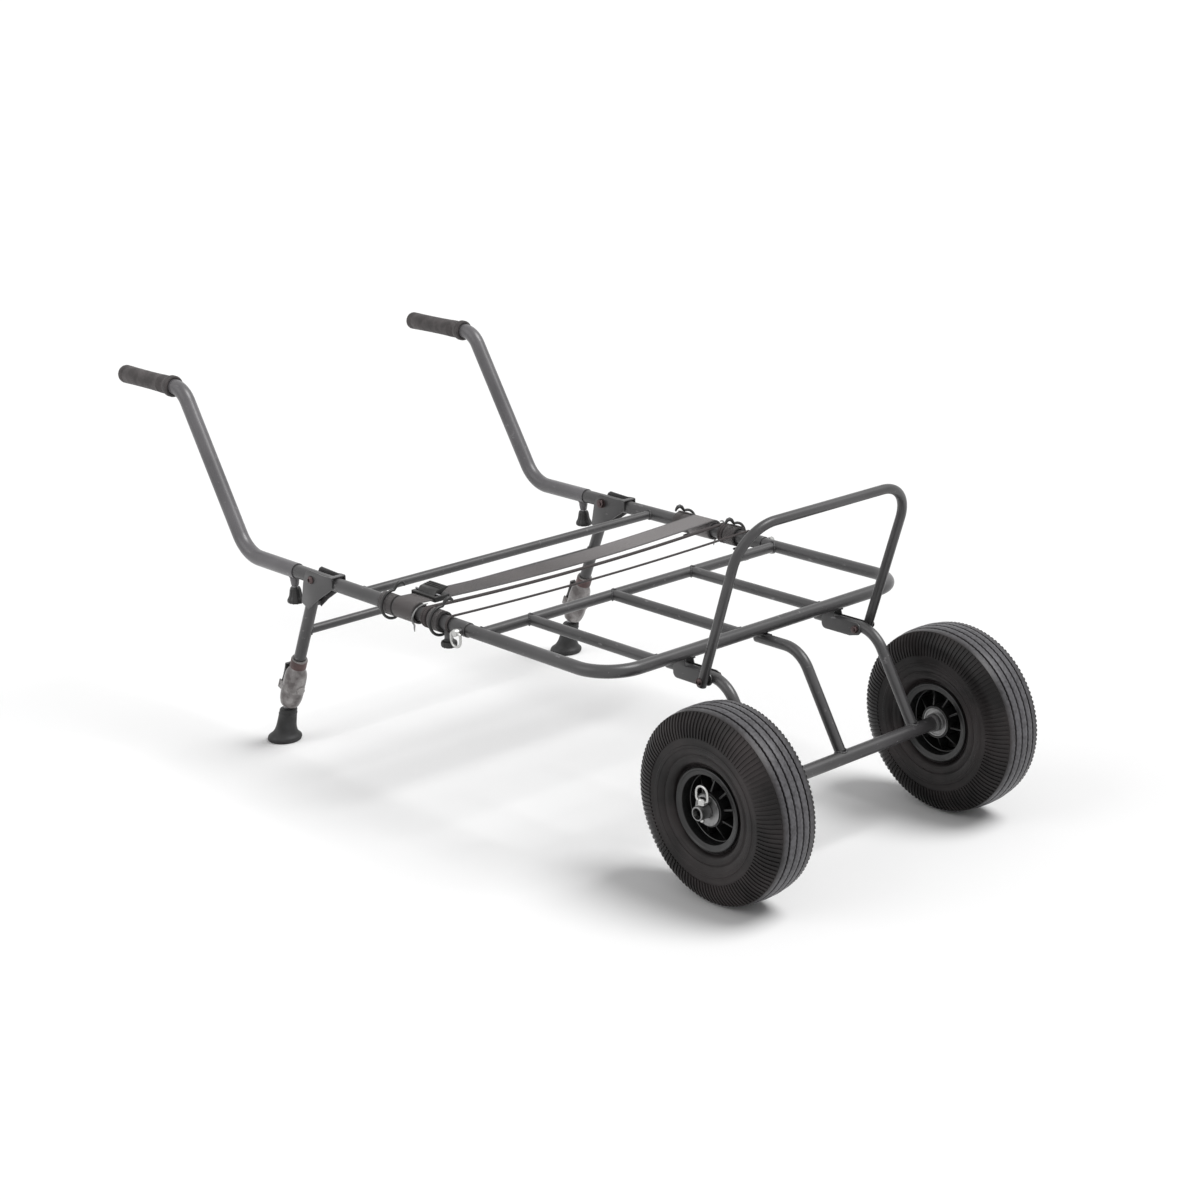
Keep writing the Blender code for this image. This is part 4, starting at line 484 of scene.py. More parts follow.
class Bench:
    """The modelling steps that every piece is made with."""

    made = 0

    @staticmethod
    def clear() -> None:
        """Leave edit mode and deselect everything."""
        if bpy.context.object and bpy.context.object.mode != "OBJECT":
            bpy.ops.object.mode_set(mode="OBJECT")
        bpy.ops.object.select_all(action="DESELECT")

    @staticmethod
    def take(piece: Piece) -> None:
        """Make one piece the active and only selected object.

        Args:
            piece: The piece.
        """
        Bench.clear()
        bpy.context.view_layer.objects.active = piece
        piece.select_set(True)

    @staticmethod
    def edit(piece: Piece) -> None:
        """Open a piece in edit mode with all of it selected.

        Args:
            piece: The piece.
        """
        Bench.take(piece)
        bpy.ops.object.mode_set(mode="EDIT")
        bpy.ops.mesh.select_mode(type="VERT")
        bpy.ops.mesh.select_all(action="SELECT")

    @staticmethod
    def done(name: str) -> Piece:
        """Leave edit mode, name the active piece and put its place in its mesh.

        Args:
            name: The piece's name.

        Returns:
            The piece.
        """
        if bpy.context.object.mode != "OBJECT":
            bpy.ops.object.mode_set(mode="OBJECT")
        piece = bpy.context.object
        bpy.ops.object.transform_apply(location=True, rotation=True, scale=True)
        piece.name = name
        piece.data.name = name
        return piece

    @staticmethod
    def outward() -> None:
        """In edit mode, merge doubles and turn every face outwards."""
        bpy.ops.mesh.select_all(action="SELECT")
        bpy.ops.mesh.remove_doubles(threshold=0.000002)
        bpy.ops.mesh.normals_make_consistent(inside=False)

    @staticmethod
    def chain(points: Sequence[Point]) -> None:
        """Start a mesh in edit mode as one vertex, and extrude it from point to point.

        Args:
            points: The points to pass.
        """
        Bench.clear()
        bpy.ops.mesh.primitive_plane_add(size=0.001, location=(0.0, 0.0, 0.0))
        bpy.ops.object.mode_set(mode="EDIT")
        bpy.ops.mesh.select_mode(type="VERT")
        bpy.ops.mesh.select_all(action="SELECT")
        bpy.ops.mesh.merge(type="CENTER")
        bpy.ops.transform.translate(value=points[0])
        for start, end in zip(points, points[1:]):
            step = Vector(end) - Vector(start)
            bpy.ops.mesh.extrude_vertices_move(TRANSFORM_OT_translate={"value": step})
        bpy.ops.mesh.select_all(action="SELECT")

    @staticmethod
    def lathe(name: str, profile: Outline, steps: int = 64, closed: bool = False) -> Piece:
        """Turn a profile about the Z axis.

        Args:
            name: The piece's name.
            profile: Points as (radius, height).
            steps: Number of steps round the axis.
            closed: Whether the last point joins the first.

        Returns:
            The turned piece.
        """
        points = [(radius, 0.0, height) for radius, height in profile]
        if closed:
            points.append(points[0])
        Bench.chain(points)
        bpy.ops.mesh.spin(steps=steps, angle=2 * math.pi, center=(0.0, 0.0, 0.0), axis=(0.0, 0.0, 1.0))
        Bench.outward()
        return Bench.done(name)

    @staticmethod
    def slab(name: str, outline: Sequence[Point], depth: Point, bevel: float = 0.0) -> Piece:
        """Fill an outline and extrude it to a plate.

        Args:
            name: The piece's name.
            outline: Corners in order.
            depth: The extrusion.
            bevel: Width of the rounded edges.

        Returns:
            The plate.
        """
        Bench.chain(outline)
        bpy.ops.mesh.edge_face_add()
        bpy.ops.mesh.extrude_region_move(TRANSFORM_OT_translate={"value": depth})
        Bench.outward()
        if bevel:
            bpy.ops.mesh.bevel(offset=bevel, segments=2, affect="EDGES")
        return Bench.done(name)

    @staticmethod
    def pipe(
        name: str, corners: Sequence[Point], bends: Sequence[float], radius: float, sides: int, arcs: int
    ) -> Piece:
        """Bent tube: a disc extruded along straight runs and spun round the bends.

        Args:
            name: The piece's name.
            corners: Ends and corners of the middle line.
            bends: Bend radius at each inner corner.
            radius: Tube radius.
            sides: Number of sides.
            arcs: Number of steps in a bend.

        Returns:
            The tube.
        """
        knots = [Vector(corner) for corner in corners]
        runs = [(after - before).normalized() for before, after in zip(knots, knots[1:])]
        Bench.clear()
        turn = runs[0].to_track_quat("Z", "Y").to_euler()
        bpy.ops.mesh.primitive_circle_add(
            vertices=sides, radius=radius, fill_type="NGON", location=knots[0], rotation=turn
        )
        bpy.ops.object.transform_apply(location=True, rotation=True, scale=True)
        bpy.ops.object.mode_set(mode="EDIT")
        bpy.ops.mesh.select_all(action="SELECT")
        place = knots[0]
        for number, bend in enumerate(bends):
            before, after, corner = runs[number], runs[number + 1], knots[number + 1]
            sweep = before.angle(after)
            start = corner - before * (bend * math.tan(sweep / 2))
            axis = before.cross(after).normalized()
            bpy.ops.mesh.extrude_region_move(TRANSFORM_OT_translate={"value": start - place})
            bpy.ops.mesh.spin(steps=arcs, angle=sweep, center=start + axis.cross(before) * bend, axis=-axis)
            place = corner + after * (bend * math.tan(sweep / 2))
        bpy.ops.mesh.extrude_region_move(TRANSFORM_OT_translate={"value": knots[-1] - place})
        Bench.outward()
        return Bench.done(name)

    @staticmethod
    def rod(name: str, start: Point, end: Point, radius: float, sides: int = 32, bevel: float = 0.0) -> Piece:
        """Straight rod with bevelled ends.

        Args:
            name: The piece's name.
            start: Middle of one end.
            end: Middle of the other end.
            radius: The rod's radius.
            sides: Number of sides.
            bevel: Width of the bevel at its ends.

        Returns:
            The rod.
        """
        run = Vector(end) - Vector(start)
        Bench.clear()
        middle, turn = (Vector(start) + Vector(end)) / 2, run.to_track_quat("Z", "Y").to_euler()
        bpy.ops.mesh.primitive_cylinder_add(
            vertices=sides, radius=radius, depth=run.length, location=middle, rotation=turn
        )
        piece = Bench.done(name)
        if bevel:
            Bench.modify(piece, "BEVEL", width=bevel, segments=3, limit_method="ANGLE", angle_limit=1.0)
        return piece

    @staticmethod
    def box(name: str, low: Point, high: Point, bevel: float = 0.0) -> Piece:
        """Block between two corners with rounded edges.

        Args:
            name: The piece's name.
            low: Lowest corner.
            high: Highest corner.
            bevel: Width of the rounded edges.

        Returns:
            The block.
        """
        low, high = Vector(low), Vector(high)
        Bench.clear()
        bpy.ops.mesh.primitive_cube_add(size=1.0, location=(low + high) / 2, scale=high - low)
        piece = Bench.done(name)
        if bevel:
            Bench.modify(piece, "BEVEL", width=bevel, segments=3)
        return piece

    @staticmethod
    def sweep(
        name: str, points: Sequence[Point], radii: Sequence[float], sides: int, closed: bool = False
    ) -> Piece:
        """Round cord or bead along a line, with a map that runs along it.

        Args:
            name: The piece's name.
            points: The middle line.
            radii: Radius at each point, or one radius for all.
            sides: Number of sides.
            closed: Whether the line is a loop.

        Returns:
            The swept piece.
        """
        line = [Vector(point) for point in points]
        count = len(line)
        radii = list(radii) * count if len(radii) == 1 else list(radii)
        ahead = []
        for number in range(count):
            before = line[number - 1] if closed or number else line[0]
            after = line[(number + 1) % count] if closed or number < count - 1 else line[-1]
            ahead.append((after - before).normalized())
        normal = ahead[0].orthogonal().normalized()
        normals = []
        for number in range(count):
            if number:
                normal = ahead[number - 1].rotation_difference(ahead[number]) @ normal
            normals.append(normal.copy())
        twist = 0.0
        if closed:
            last = ahead[-1].rotation_difference(ahead[0]) @ normals[-1]
            twist = math.atan2(last.cross(normals[0]).dot(ahead[0]), last.dot(normals[0]))
        shape = bmesh.new()
        rings, lengths = [], [0.0]
        for number in range(count):
            extra = twist * number / count
            start = Matrix.Rotation(extra, 3, ahead[number]) @ normals[number]
            across = ahead[number].cross(start)
            ring = []
            for side in range(sides):
                angle = 2 * math.pi * side / sides
                offset = start * math.cos(angle) + across * math.sin(angle)
                ring.append(shape.verts.new(line[number] + offset * radii[number]))
            rings.append(ring)
            lengths.append(lengths[-1] + (line[(number + 1) % count] - line[number]).length)
        Bench.skin(shape, rings, [side / sides for side in range(sides + 1)], lengths, closed)
        return Bench.adopt(shape, name)

    @staticmethod
    def skin(
        shape: bmesh.types.BMesh, rings: list[list], marks: list[float], lengths: list[float], closed: bool
    ) -> None:
        """Bridge rings of vertices with smooth, mapped faces, and cap the ends of an open line.

        Args:
            shape: The mesh that holds the vertices.
            rings: The rings in order.
            marks: First value of the map at each corner of a ring, and once more for the first.
            lengths: Second value of the map at each ring, and once more where the line is a loop.
            closed: Whether the line is a loop.
        """
        chart = shape.loops.layers.uv.new("run")
        for number in range(len(rings) if closed else len(rings) - 1):
            first, second = rings[number], rings[(number + 1) % len(rings)]
            for corner in range(len(first)):
                after = (corner + 1) % len(first)
                face = shape.faces.new((first[corner], first[after], second[after], second[corner]))
                face.smooth = True
                spots = ((corner, 0), (corner + 1, 0), (corner + 1, 1), (corner, 1))
                for loop, (place, end) in zip(face.loops, spots):
                    loop[chart].uv = (marks[place], lengths[number + end])
        if not closed:
            shape.faces.new(rings[0][::-1])
            shape.faces.new(rings[-1])

    @staticmethod
    def adopt(shape: bmesh.types.BMesh, name: str) -> Piece:
        """Turn mesh code's result into a piece of the scene.

        Args:
            shape: The finished mesh, which is freed.
            name: The piece's name.

        Returns:
            The piece.
        """
        mesh = bpy.data.meshes.new(name)
        shape.to_mesh(mesh)
        shape.free()
        piece = bpy.data.objects.new(name, mesh)
        bpy.context.scene.collection.objects.link(piece)
        return piece

    @staticmethod
    def modify(piece: Piece, kind: str, **settings: object) -> None:
        """Add a modifier and apply it.

        Args:
            piece: The piece.
            kind: The modifier's type.
            **settings: The modifier's settings.
        """
        Bench.take(piece)
        modifier = piece.modifiers.new(kind.title(), kind)
        for name, value in settings.items():
            setattr(modifier, name, value)
        bpy.ops.object.modifier_apply(modifier=modifier.name)

    @staticmethod
    def cut(piece: Piece, *tools: Piece) -> Piece:
        """Cut tools out of a piece and remove them.

        Args:
            piece: The piece.
            *tools: The cutting shapes.

        Returns:
            The piece.
        """
        for tool in tools:
            Bench.modify(piece, "BOOLEAN", object=tool, operation="DIFFERENCE", solver="EXACT")
            bpy.data.objects.remove(tool, do_unlink=True)
        return piece

    @staticmethod
    def unite(piece: Piece, *others: Piece, name: str = "") -> Piece:
        """Join other shapes to a piece as one object.

        Args:
            piece: The piece.
            *others: The shapes to add.
            name: The new name, if it doesn't keep its own.

        Returns:
            The piece.
        """
        Bench.take(piece)
        for other in others:
            other.select_set(True)
        bpy.ops.object.join()
        piece.name = name or piece.name
        return piece

    @staticmethod
    def lay(piece: Piece, turn: Matrix, place: Point = (0.0, 0.0, 0.0)) -> Piece:
        """Turn and place a piece, and write both into its mesh.

        Args:
            piece: The piece.
            turn: Its rotation.
            place: Where its origin goes.

        Returns:
            The piece.
        """
        Bench.take(piece)
        piece.matrix_world = Matrix.Translation(place) @ turn.to_4x4()
        bpy.ops.object.transform_apply(location=True, rotation=True, scale=True)
        return piece

    @staticmethod
    def move(piece: Piece, place: Point) -> Piece:
        """Move a piece, and write its place into its mesh."""
        return Bench.lay(piece, Matrix.Identity(3), place)

    @staticmethod
    def copy(piece: Piece, name: str) -> Piece:
        """Copy a piece with its own mesh.

        Args:
            piece: The piece.
            name: The copy's name.

        Returns:
            The copy.
        """
        other = piece.copy()
        other.data = piece.data.copy()
        other.name = name
        other.data.name = name
        bpy.context.scene.collection.objects.link(other)
        return other

    @staticmethod
    def ring(piece: Piece, count: int) -> Piece:
        """Repeat a shape round the Z axis in one object.

        Args:
            piece: The shape.
            count: How many there are.

        Returns:
            The shapes as one object.
        """
        others = []
        for number in range(1, count):
            other = Bench.copy(piece, f"{piece.name}_{number}")
            others.append(Bench.lay(other, Matrix.Rotation(2 * math.pi * number / count, 3, "Z")))
        return Bench.unite(piece, *others)

    @staticmethod
    def flute(knob: Piece, height: float, low: float, high: float, wide: int) -> None:
        """Raise grip ribs round a knob between two heights, each so many of four columns wide."""
        Bench.emboss(knob, height, lambda spot, _: low < spot.z < high and column(spot, 48) % 4 < wide)

    @staticmethod
    def emboss(piece: Piece, height: float, test: Callable[[Vector, Vector], bool]) -> None:
        """Raise the faces that pass a test.

        Args:
            piece: The piece.
            height: How far they rise.
            test: Takes a face's middle and normal.
        """
        Bench.edit(piece)
        bpy.ops.mesh.select_mode(type="FACE")
        bpy.ops.mesh.select_all(action="DESELECT")
        shape = bmesh.from_edit_mesh(piece.data)
        for face in shape.faces:
            if test(face.calc_center_median(), face.normal):
                face.select_set(True)
        bmesh.update_edit_mesh(piece.data)
        bpy.ops.mesh.extrude_region_shrink_fatten(TRANSFORM_OT_shrink_fatten={"value": height})
        Bench.outward()
        Bench.done(piece.name)

    @staticmethod
    def settle(piece: Piece, finish: Finish, body: str, *nodes: str, sharp: float = 35.0) -> None:
        """Finish a piece: shade it, give it its material and its body, and report it.

        Args:
            piece: The piece.
            finish: Its finish.
            body: The body that it rides on.
            *nodes: CAD nodes that it replaces.
            sharp: Edges sharper than this many degrees stay sharp.
        """
        Bench.take(piece)
        piece.location.y += AXLE_Y
        bpy.ops.object.transform_apply(location=True, rotation=True, scale=True)
        bpy.ops.object.shade_smooth_by_angle(angle=math.radians(sharp))
        piece.data.materials.clear()
        piece.data.materials.append(finish.material())
        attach(piece, body)
        if nodes:
            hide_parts(*nodes)
        Bench.made += 1
        LOG.info("%s: %d faces, rides on %s", piece.name, len(piece.data.polygons), body)


def flipped(half: Outline) -> Outline:
    """The other half of a profile, in reverse, that mirrors this one in height."""
    return [(radius, -height) for radius, height in reversed(half)]


def column(spot: Vector, count: int) -> int:
    """Which of a number of equal columns round the Z axis a spot lies in."""
    return math.floor(math.atan2(spot.y, spot.x) * count / (2 * math.pi))


def ripples(size: float, count: int, pace: float = 1.7) -> list[float]:
    """Radii along a weld bead that isn't a ring."""
    return [size * (1 + 0.2 * math.sin(step * pace)) for step in range(count)]


def arc(radius: float, start: float, end: float, steps: int, middle: Pair = (0.0, 0.0)) -> Outline:
    """Points of an arc round a middle, between two angles in degrees."""
    turns = [math.radians(start + (end - start) * step / steps) for step in range(steps + 1)]
    return [(middle[0] + radius * math.cos(a), middle[1] + radius * math.sin(a)) for a in turns]


def weld(spot: Point, run: Point, radius: float, across: Point, host: float, size: float = 0.0016) -> Piece:
    """Rippled weld bead where a tube's end meets a larger tube.

    Args:
        spot: Where the two middle lines meet.
        run: Direction from there along the tube.
        radius: The tube's radius.
        across: Direction of the larger tube.
        host: The larger tube's radius.
        size: Radius of the bead.

    Returns:
        The bead.
    """
    run, across = Vector(run).normalized(), Vector(across).normalized()
    side = run.cross(across).normalized()
    along = side.cross(run).normalized()
    lean = run.dot(across)
    points, radii = [], []
    steps, waves = 72, 18
    for step in range(steps):
        angle = 2 * math.pi * step / steps
        wide = (radius + size * 0.3) * math.cos(angle)
        far = (radius + size * 0.3) * math.sin(angle)
        reach = math.sqrt(max(host**2 - wide**2, 0.0))
        lift = (reach - far * lean) / math.sqrt(1 - lean**2)
        points.append(Vector(spot) + side * wide + along * far + run * lift)
        radii.append(size * (1.0 + 0.16 * math.sin(angle * waves)))
    return Bench.sweep("bead", points, radii, 10, closed=True)


@dataclass(frozen=True)
class Ring:
    """Sizes of the pull rings, which are all alike."""

    half: float = 0.0105
    length: float = 0.021
    wire: float = 0.002


RING = Ring()


def hang_ring(name: str, side: Side, far: float, place: Point) -> None:
    """Bend one side's pull ring from its place to far below or above it, on its own body."""
    ring = Bench.sweep(f"{name}_{side.word}_look", oval(RING.half, far, place), [RING.wire], 16, closed=True)
    Bench.settle(ring, BRIGHT_STEEL, f"{name}_body_{side.word}", f"{name}_{side.word}", sharp=60.0)


def oval(half: float, far: float, place: Point) -> list[Point]:
    """Closed line of an oval ring that hangs in the YZ plane.

    Args:
        half: Half its width.
        far: Its length, with the sign of its direction.
        place: Middle of its near side.

    Returns:
        The points.
    """
    x, y, z = place
    sign = 1.0 if far > 0 else -1.0
    small, large = half * 0.45, half * 0.97
    corners = [(half - small, small, small, -90.0, 0.0), (half - large, abs(far) - large, large, 0.0, 90.0)]
    points = []
    for across, up, radius, start, end in corners:
        points += [(x, y + b, z + sign * c) for b, c in arc(radius, start, end, 8, (across, up))]
    for across, up, radius, start, end in reversed(corners):
        points += [(x, y - b, z + sign * c) for b, c in arc(radius, end, start, 8, (across, up))]
    return points


# Sub-assemblies


@dataclass
class Wheel:
    """Air-filled tyre on a deep-dish rim, with its bearings and valve."""

    radius: float = 0.1375
    half_track: float = 0.229
    steps: int = 240
    tread_half: float = 0.030
    tread_drop: float = 0.0035
    grooves: Pair = (0.0185, 0.0062)
    groove: float = 0.0016
    groove_depth: float = 0.0042
    swell: float = 0.0006
    zigzag: float = 0.0007
    block: Pair = (0.1010, 0.1333)
    block_height: float = 0.0013
    ribs: int = 9
    rib_half: float = 0.0014
    hub_end: float = 0.0335
    cap_reach: float = 0.0312
    cap_z: float = 0.0085
    cap_rib: float = 0.0004

    def crown(self, height: float) -> float:
        """Radius of the tread at a height from the tyre's middle."""
        flat = self.grooves[-1] - self.groove
        return self.radius - self.tread_drop * max(0.0, (height - flat) / (self.tread_half - flat)) ** 2

    def tyre(self) -> Piece:
        """Turn the tyre, shift its grooves to a zigzag and raise the shoulder blocks.

        Returns:
            The tyre in the wheel's own frame.
        """
        half = [
            (0.0522, 0.0333), (0.0588, 0.0333), (0.0592, 0.0316), (0.0602, 0.0310), (0.0620, 0.0322),
            (0.0636, 0.0352), (0.0652, 0.0380), (0.0674, 0.0400), (0.0706, 0.0409), (0.0742, 0.0411),
            (0.0756, 0.0401), (0.0770, 0.0399), (0.0784, 0.0412), (0.0830, 0.0425), (0.0862, 0.0430),
            (0.0870, 0.0438), (0.0905, 0.0440), (0.0913, 0.0432), (0.0958, 0.0430), (0.0975, 0.0434),
            (0.1010, 0.0434), (0.1065, 0.0428), (0.1120, 0.0418), (0.1170, 0.0402), (0.1208, 0.0385),
            (0.1238, 0.0367), (0.1268, 0.0347), (0.1300, 0.0322), (0.1332, 0.0299),
            (self.crown(self.tread_half), self.tread_half - 0.0006),
        ]
        middles = ((self.grooves[0] + self.tread_half) / 2, sum(self.grooves) / 2)
        for groove, middle in zip(self.grooves, middles):
            half.append((self.crown(middle), middle))
            half.append((self.crown(groove + self.groove) - self.swell, groove + self.groove))
            half.append((self.crown(groove) - self.groove_depth, groove + self.groove * 0.45))
            half.append((self.crown(groove) - self.groove_depth, groove - self.groove * 0.45))
            half.append((self.crown(groove - self.groove) - self.swell, groove - self.groove))
        half.append((self.radius, 0.0012))
        inner = [(0.1315, 0.0190), (0.0985, 0.0380), (0.0655, 0.0317), (0.0522, 0.0207)]
        profile = half + flipped(half) + flipped(inner) + inner
        tyre = Bench.lathe("tyre", profile, self.steps, closed=True)
        self.shift_grooves(tyre)
        low, high = self.block

        def in_block(middle: Vector, _: Vector) -> bool:
            """Whether a face lies on every second column of the shoulder band."""
            outside = low < math.hypot(middle.x, middle.y) < high and abs(middle.z) > self.tread_half
            return outside and column(middle, self.steps) % 2 == 0

        Bench.emboss(tyre, self.block_height, in_block)
        return tyre

    def shift_grooves(self, tyre: Piece) -> None:
        """Move every second vertex of the groove edges, so that the ribs get saw-toothed sides.

        Args:
            tyre: The turned tyre.
        """
        Bench.edit(tyre)
        bpy.ops.mesh.select_all(action="DESELECT")
        shape = bmesh.from_edit_mesh(tyre.data)
        step = 2 * math.pi / self.steps
        for vertex in shape.verts:
            height = abs(vertex.co.z)
            near = min(abs(height - groove) for groove in self.grooves)
            spoke = round(math.atan2(vertex.co.y, vertex.co.x) / step)
            outside = math.hypot(vertex.co.x, vertex.co.y) > self.radius - 0.009
            if outside and near < self.groove * 1.1 and spoke % 2:
                vertex.select_set(True)
        bmesh.update_edit_mesh(tyre.data)
        bpy.ops.transform.translate(value=(0.0, 0.0, self.zigzag))

    def rim(self) -> Piece:
        """Turn the rim with its rolled flanges and add the ribs of both dishes.

        Returns:
            The rim in the wheel's own frame.
        """
        outer = [
            (0.0480, 0.0330), (0.0487, 0.0346), (0.0500, 0.0353), (0.0538, 0.0355), (0.0547, 0.0361),
            (0.0556, 0.0368), (0.0567, 0.0371), (0.0578, 0.0367), (0.0584, 0.0359), (0.0585, 0.0350),
            (0.0583, 0.0338), (0.0515, 0.0335), (0.0515, 0.0206), (0.0480, 0.0171),
        ]
        inner = [
            (0.0172, 0.0215), (0.0213, 0.0216), (0.0213, 0.0330), (0.0217, 0.0335), (0.0236, 0.0335),
            (0.0241, 0.0329), (0.0246, 0.0060), (0.0268, 0.0034), (0.0300, 0.0030), (0.0420, 0.0030),
            (0.0446, 0.0036), (0.0456, 0.0056), (0.0464, 0.0200), (0.0474, 0.0206),
        ]
        profile = outer + flipped(outer) + flipped(inner) + inner
        rim = Bench.lathe("rim", profile, 96, closed=True)
        half = [(0.0225, -0.0285), (0.0478, -0.0165)]
        outline = [(x, -self.rib_half, z) for x, z in half + flipped(half)]
        rib = Bench.slab("rim_rib", outline, (0.0, 2 * self.rib_half, 0.0), 0.0006)
        return Bench.unite(rim, Bench.ring(rib, self.ribs))

    def bearings(self) -> Piece:
        """Turn both bearings with their shields and the sleeve between them.

        Returns:
            The bearings in the wheel's own frame.
        """
        end = self.hub_end
        half = [
            (0.0103, end - 0.0003), (0.0106, end), (0.0133, end), (0.0136, end - 0.0003),
            (0.0137, end - 0.0010), (0.0181, end - 0.0010), (0.0182, end - 0.0003), (0.0185, end),
            (0.0207, end), (0.0210, end - 0.0004), (0.0210, 0.0218), (0.0135, 0.0218),
        ]
        profile = half + flipped(half)
        return Bench.lathe("bearing_set", profile, 64, closed=True)

    def valve_cap(self) -> Piece:
        """Ribbed cap on the valve's stem, between two ribs of the outer dish.

        Returns:
            The cap in the wheel's own frame.
        """
        profile = [(0.0, 0.0), (0.0030, 0.0), (0.0040, 0.0010)]
        profile += [(0.0042, 0.0080), (0.0036, 0.0092), (0.0, 0.0092)]
        steps = 24
        cap = Bench.lathe("valve_cap", profile, steps)

        def rib(middle: Vector, normal: Vector) -> bool:
            """Whether a face belongs to a raised rib of the side."""
            return abs(normal.z) < 0.3 and column(middle, steps) % 2 == 0

        Bench.emboss(cap, self.cap_rib, rib)
        angle, reach = math.pi / self.ribs, self.cap_reach
        turn = Matrix.Rotation(angle, 3, "Z") @ Matrix.Rotation(QUARTER, 3, "Y")
        return Bench.lay(cap, turn, (reach * math.cos(angle), reach * math.sin(angle), self.cap_z))

    def build(self) -> None:
        """Make one wheel's pieces, and copy them to both sides."""
        tyre, rim, bearings, cap = self.tyre(), self.rim(), self.bearings(), self.valve_cap()
        looks = ((tyre, TYRE_RUBBER, 28.0), (rim, RIM_PLASTIC, 35.0), (bearings, DULL_STEEL, 30.0))
        for side in Side:
            place = (side.value * self.half_track, 0.0, self.radius)
            body = f"wheel_{side.word}"
            for piece, finish, sharp in looks:
                node = f"{piece.name}_{side.word}"
                copy = Bench.lay(Bench.copy(piece, node + "_look"), side.turn, place)
                Bench.settle(copy, finish, body, node, sharp=sharp)
            copy = Bench.lay(Bench.copy(cap, f"valve_cap_{side.word}"), side.turn, place)
            Bench.settle(copy, BLACK_PLASTIC, body)
        for piece in (tyre, rim, bearings, cap):
            bpy.data.objects.remove(piece, do_unlink=True)


@dataclass
class AxleGear:
    """Axle tube with its stop collars, the washers, and the pins with their rings."""

    half: float = 0.2828
    bore: float = 0.008
    collar: float = 0.013
    collar_ends: Pair = (0.1892, 0.1952)
    washer: float = 0.022
    washer_x: Pair = (0.2628, 0.2643)
    pin_x: float = 0.2728
    pin: float = 0.003
    pin_top: float = 0.1578
    pin_base: float = 0.1478
    pin_tip: float = 0.1220
    head: float = 0.006
    ring_z: float = 0.1528

    def axle(self) -> None:
        """Turn the axle with its collars, and drill it for the pins."""
        radius, (near, far) = LAYOUT.axle, self.collar_ends
        half = [(self.bore, self.half), (radius - 0.0005, self.half), (radius, self.half - 0.0005)]
        half += [(radius, far), (self.collar - 0.0006, far), (self.collar, far - 0.0006)]
        half += [(self.collar, near + 0.0006), (self.collar - 0.0006, near)]
        half += [(radius + 0.0012, near), (radius, near - 0.0014)]
        profile = half + flipped(half)
        axle = Bench.lathe("axle_tube_look", profile, 48, closed=True)
        Bench.lay(axle, Matrix.Rotation(QUARTER, 3, "Y"), (0.0, 0.0, LAYOUT.axle_z))
        for side in Side:
            x = side.value * self.pin_x
            drill = Bench.rod("axle_drill", (x, 0.0, 0.11), (x, 0.0, 0.16), self.pin + 0.0003, 24)
            Bench.cut(axle, drill)
        Bench.settle(axle, AXLE_PAINT, "front_frame", "axle_tube")

    def washers(self, side: Side) -> None:
        """Add one side's washer.

        Args:
            side: The side.
        """
        low, high = self.washer_x
        edge, bore = 0.0003, LAYOUT.axle + 0.0003
        profile = [(self.washer - edge, high), (self.washer, high - edge), (self.washer, low + edge)]
        profile += [(self.washer - edge, low), (bore, low), (bore, high - edge), (bore + edge, high)]
        washer = Bench.lathe(f"axle_washer_{side.word}_look", profile, 64, closed=True)
        Bench.lay(washer, side.turn, (0.0, 0.0, LAYOUT.axle_z))
        Bench.settle(washer, DULL_STEEL, "front_frame", f"axle_washer_{side.word}")

    def pins(self, side: Side) -> None:
        """Add one side's linch pin and its ring.

        Args:
            side: The side.
        """
        top, base, tip = self.pin_top, self.pin_base, self.pin_tip
        profile = [(0.0, top), (0.0034, top), (0.0050, top - 0.0008), (self.head, top - 0.0022)]
        profile += [(self.head, base + 0.0006), (self.head - 0.0006, base), (self.pin, base)]
        profile += [(self.pin, tip + 0.0020), (0.0018, tip + 0.0004), (0.0, tip)]
        pin = Bench.lathe(f"axle_pin_{side.word}_look", profile, 40)
        x = side.value * self.pin_x
        Bench.move(pin, (x, 0.0, 0.0))
        Bench.settle(pin, BRIGHT_STEEL, f"axle_pin_body_{side.word}", f"axle_pin_{side.word}")
        hang_ring("pin_ring", side, RING.length, (x, 0.0, self.ring_z))

    def build(self) -> None:
        """Make the axle, the washers and the pins."""
        self.axle()
        for side in Side:
            self.washers(side)
            self.pins(side)


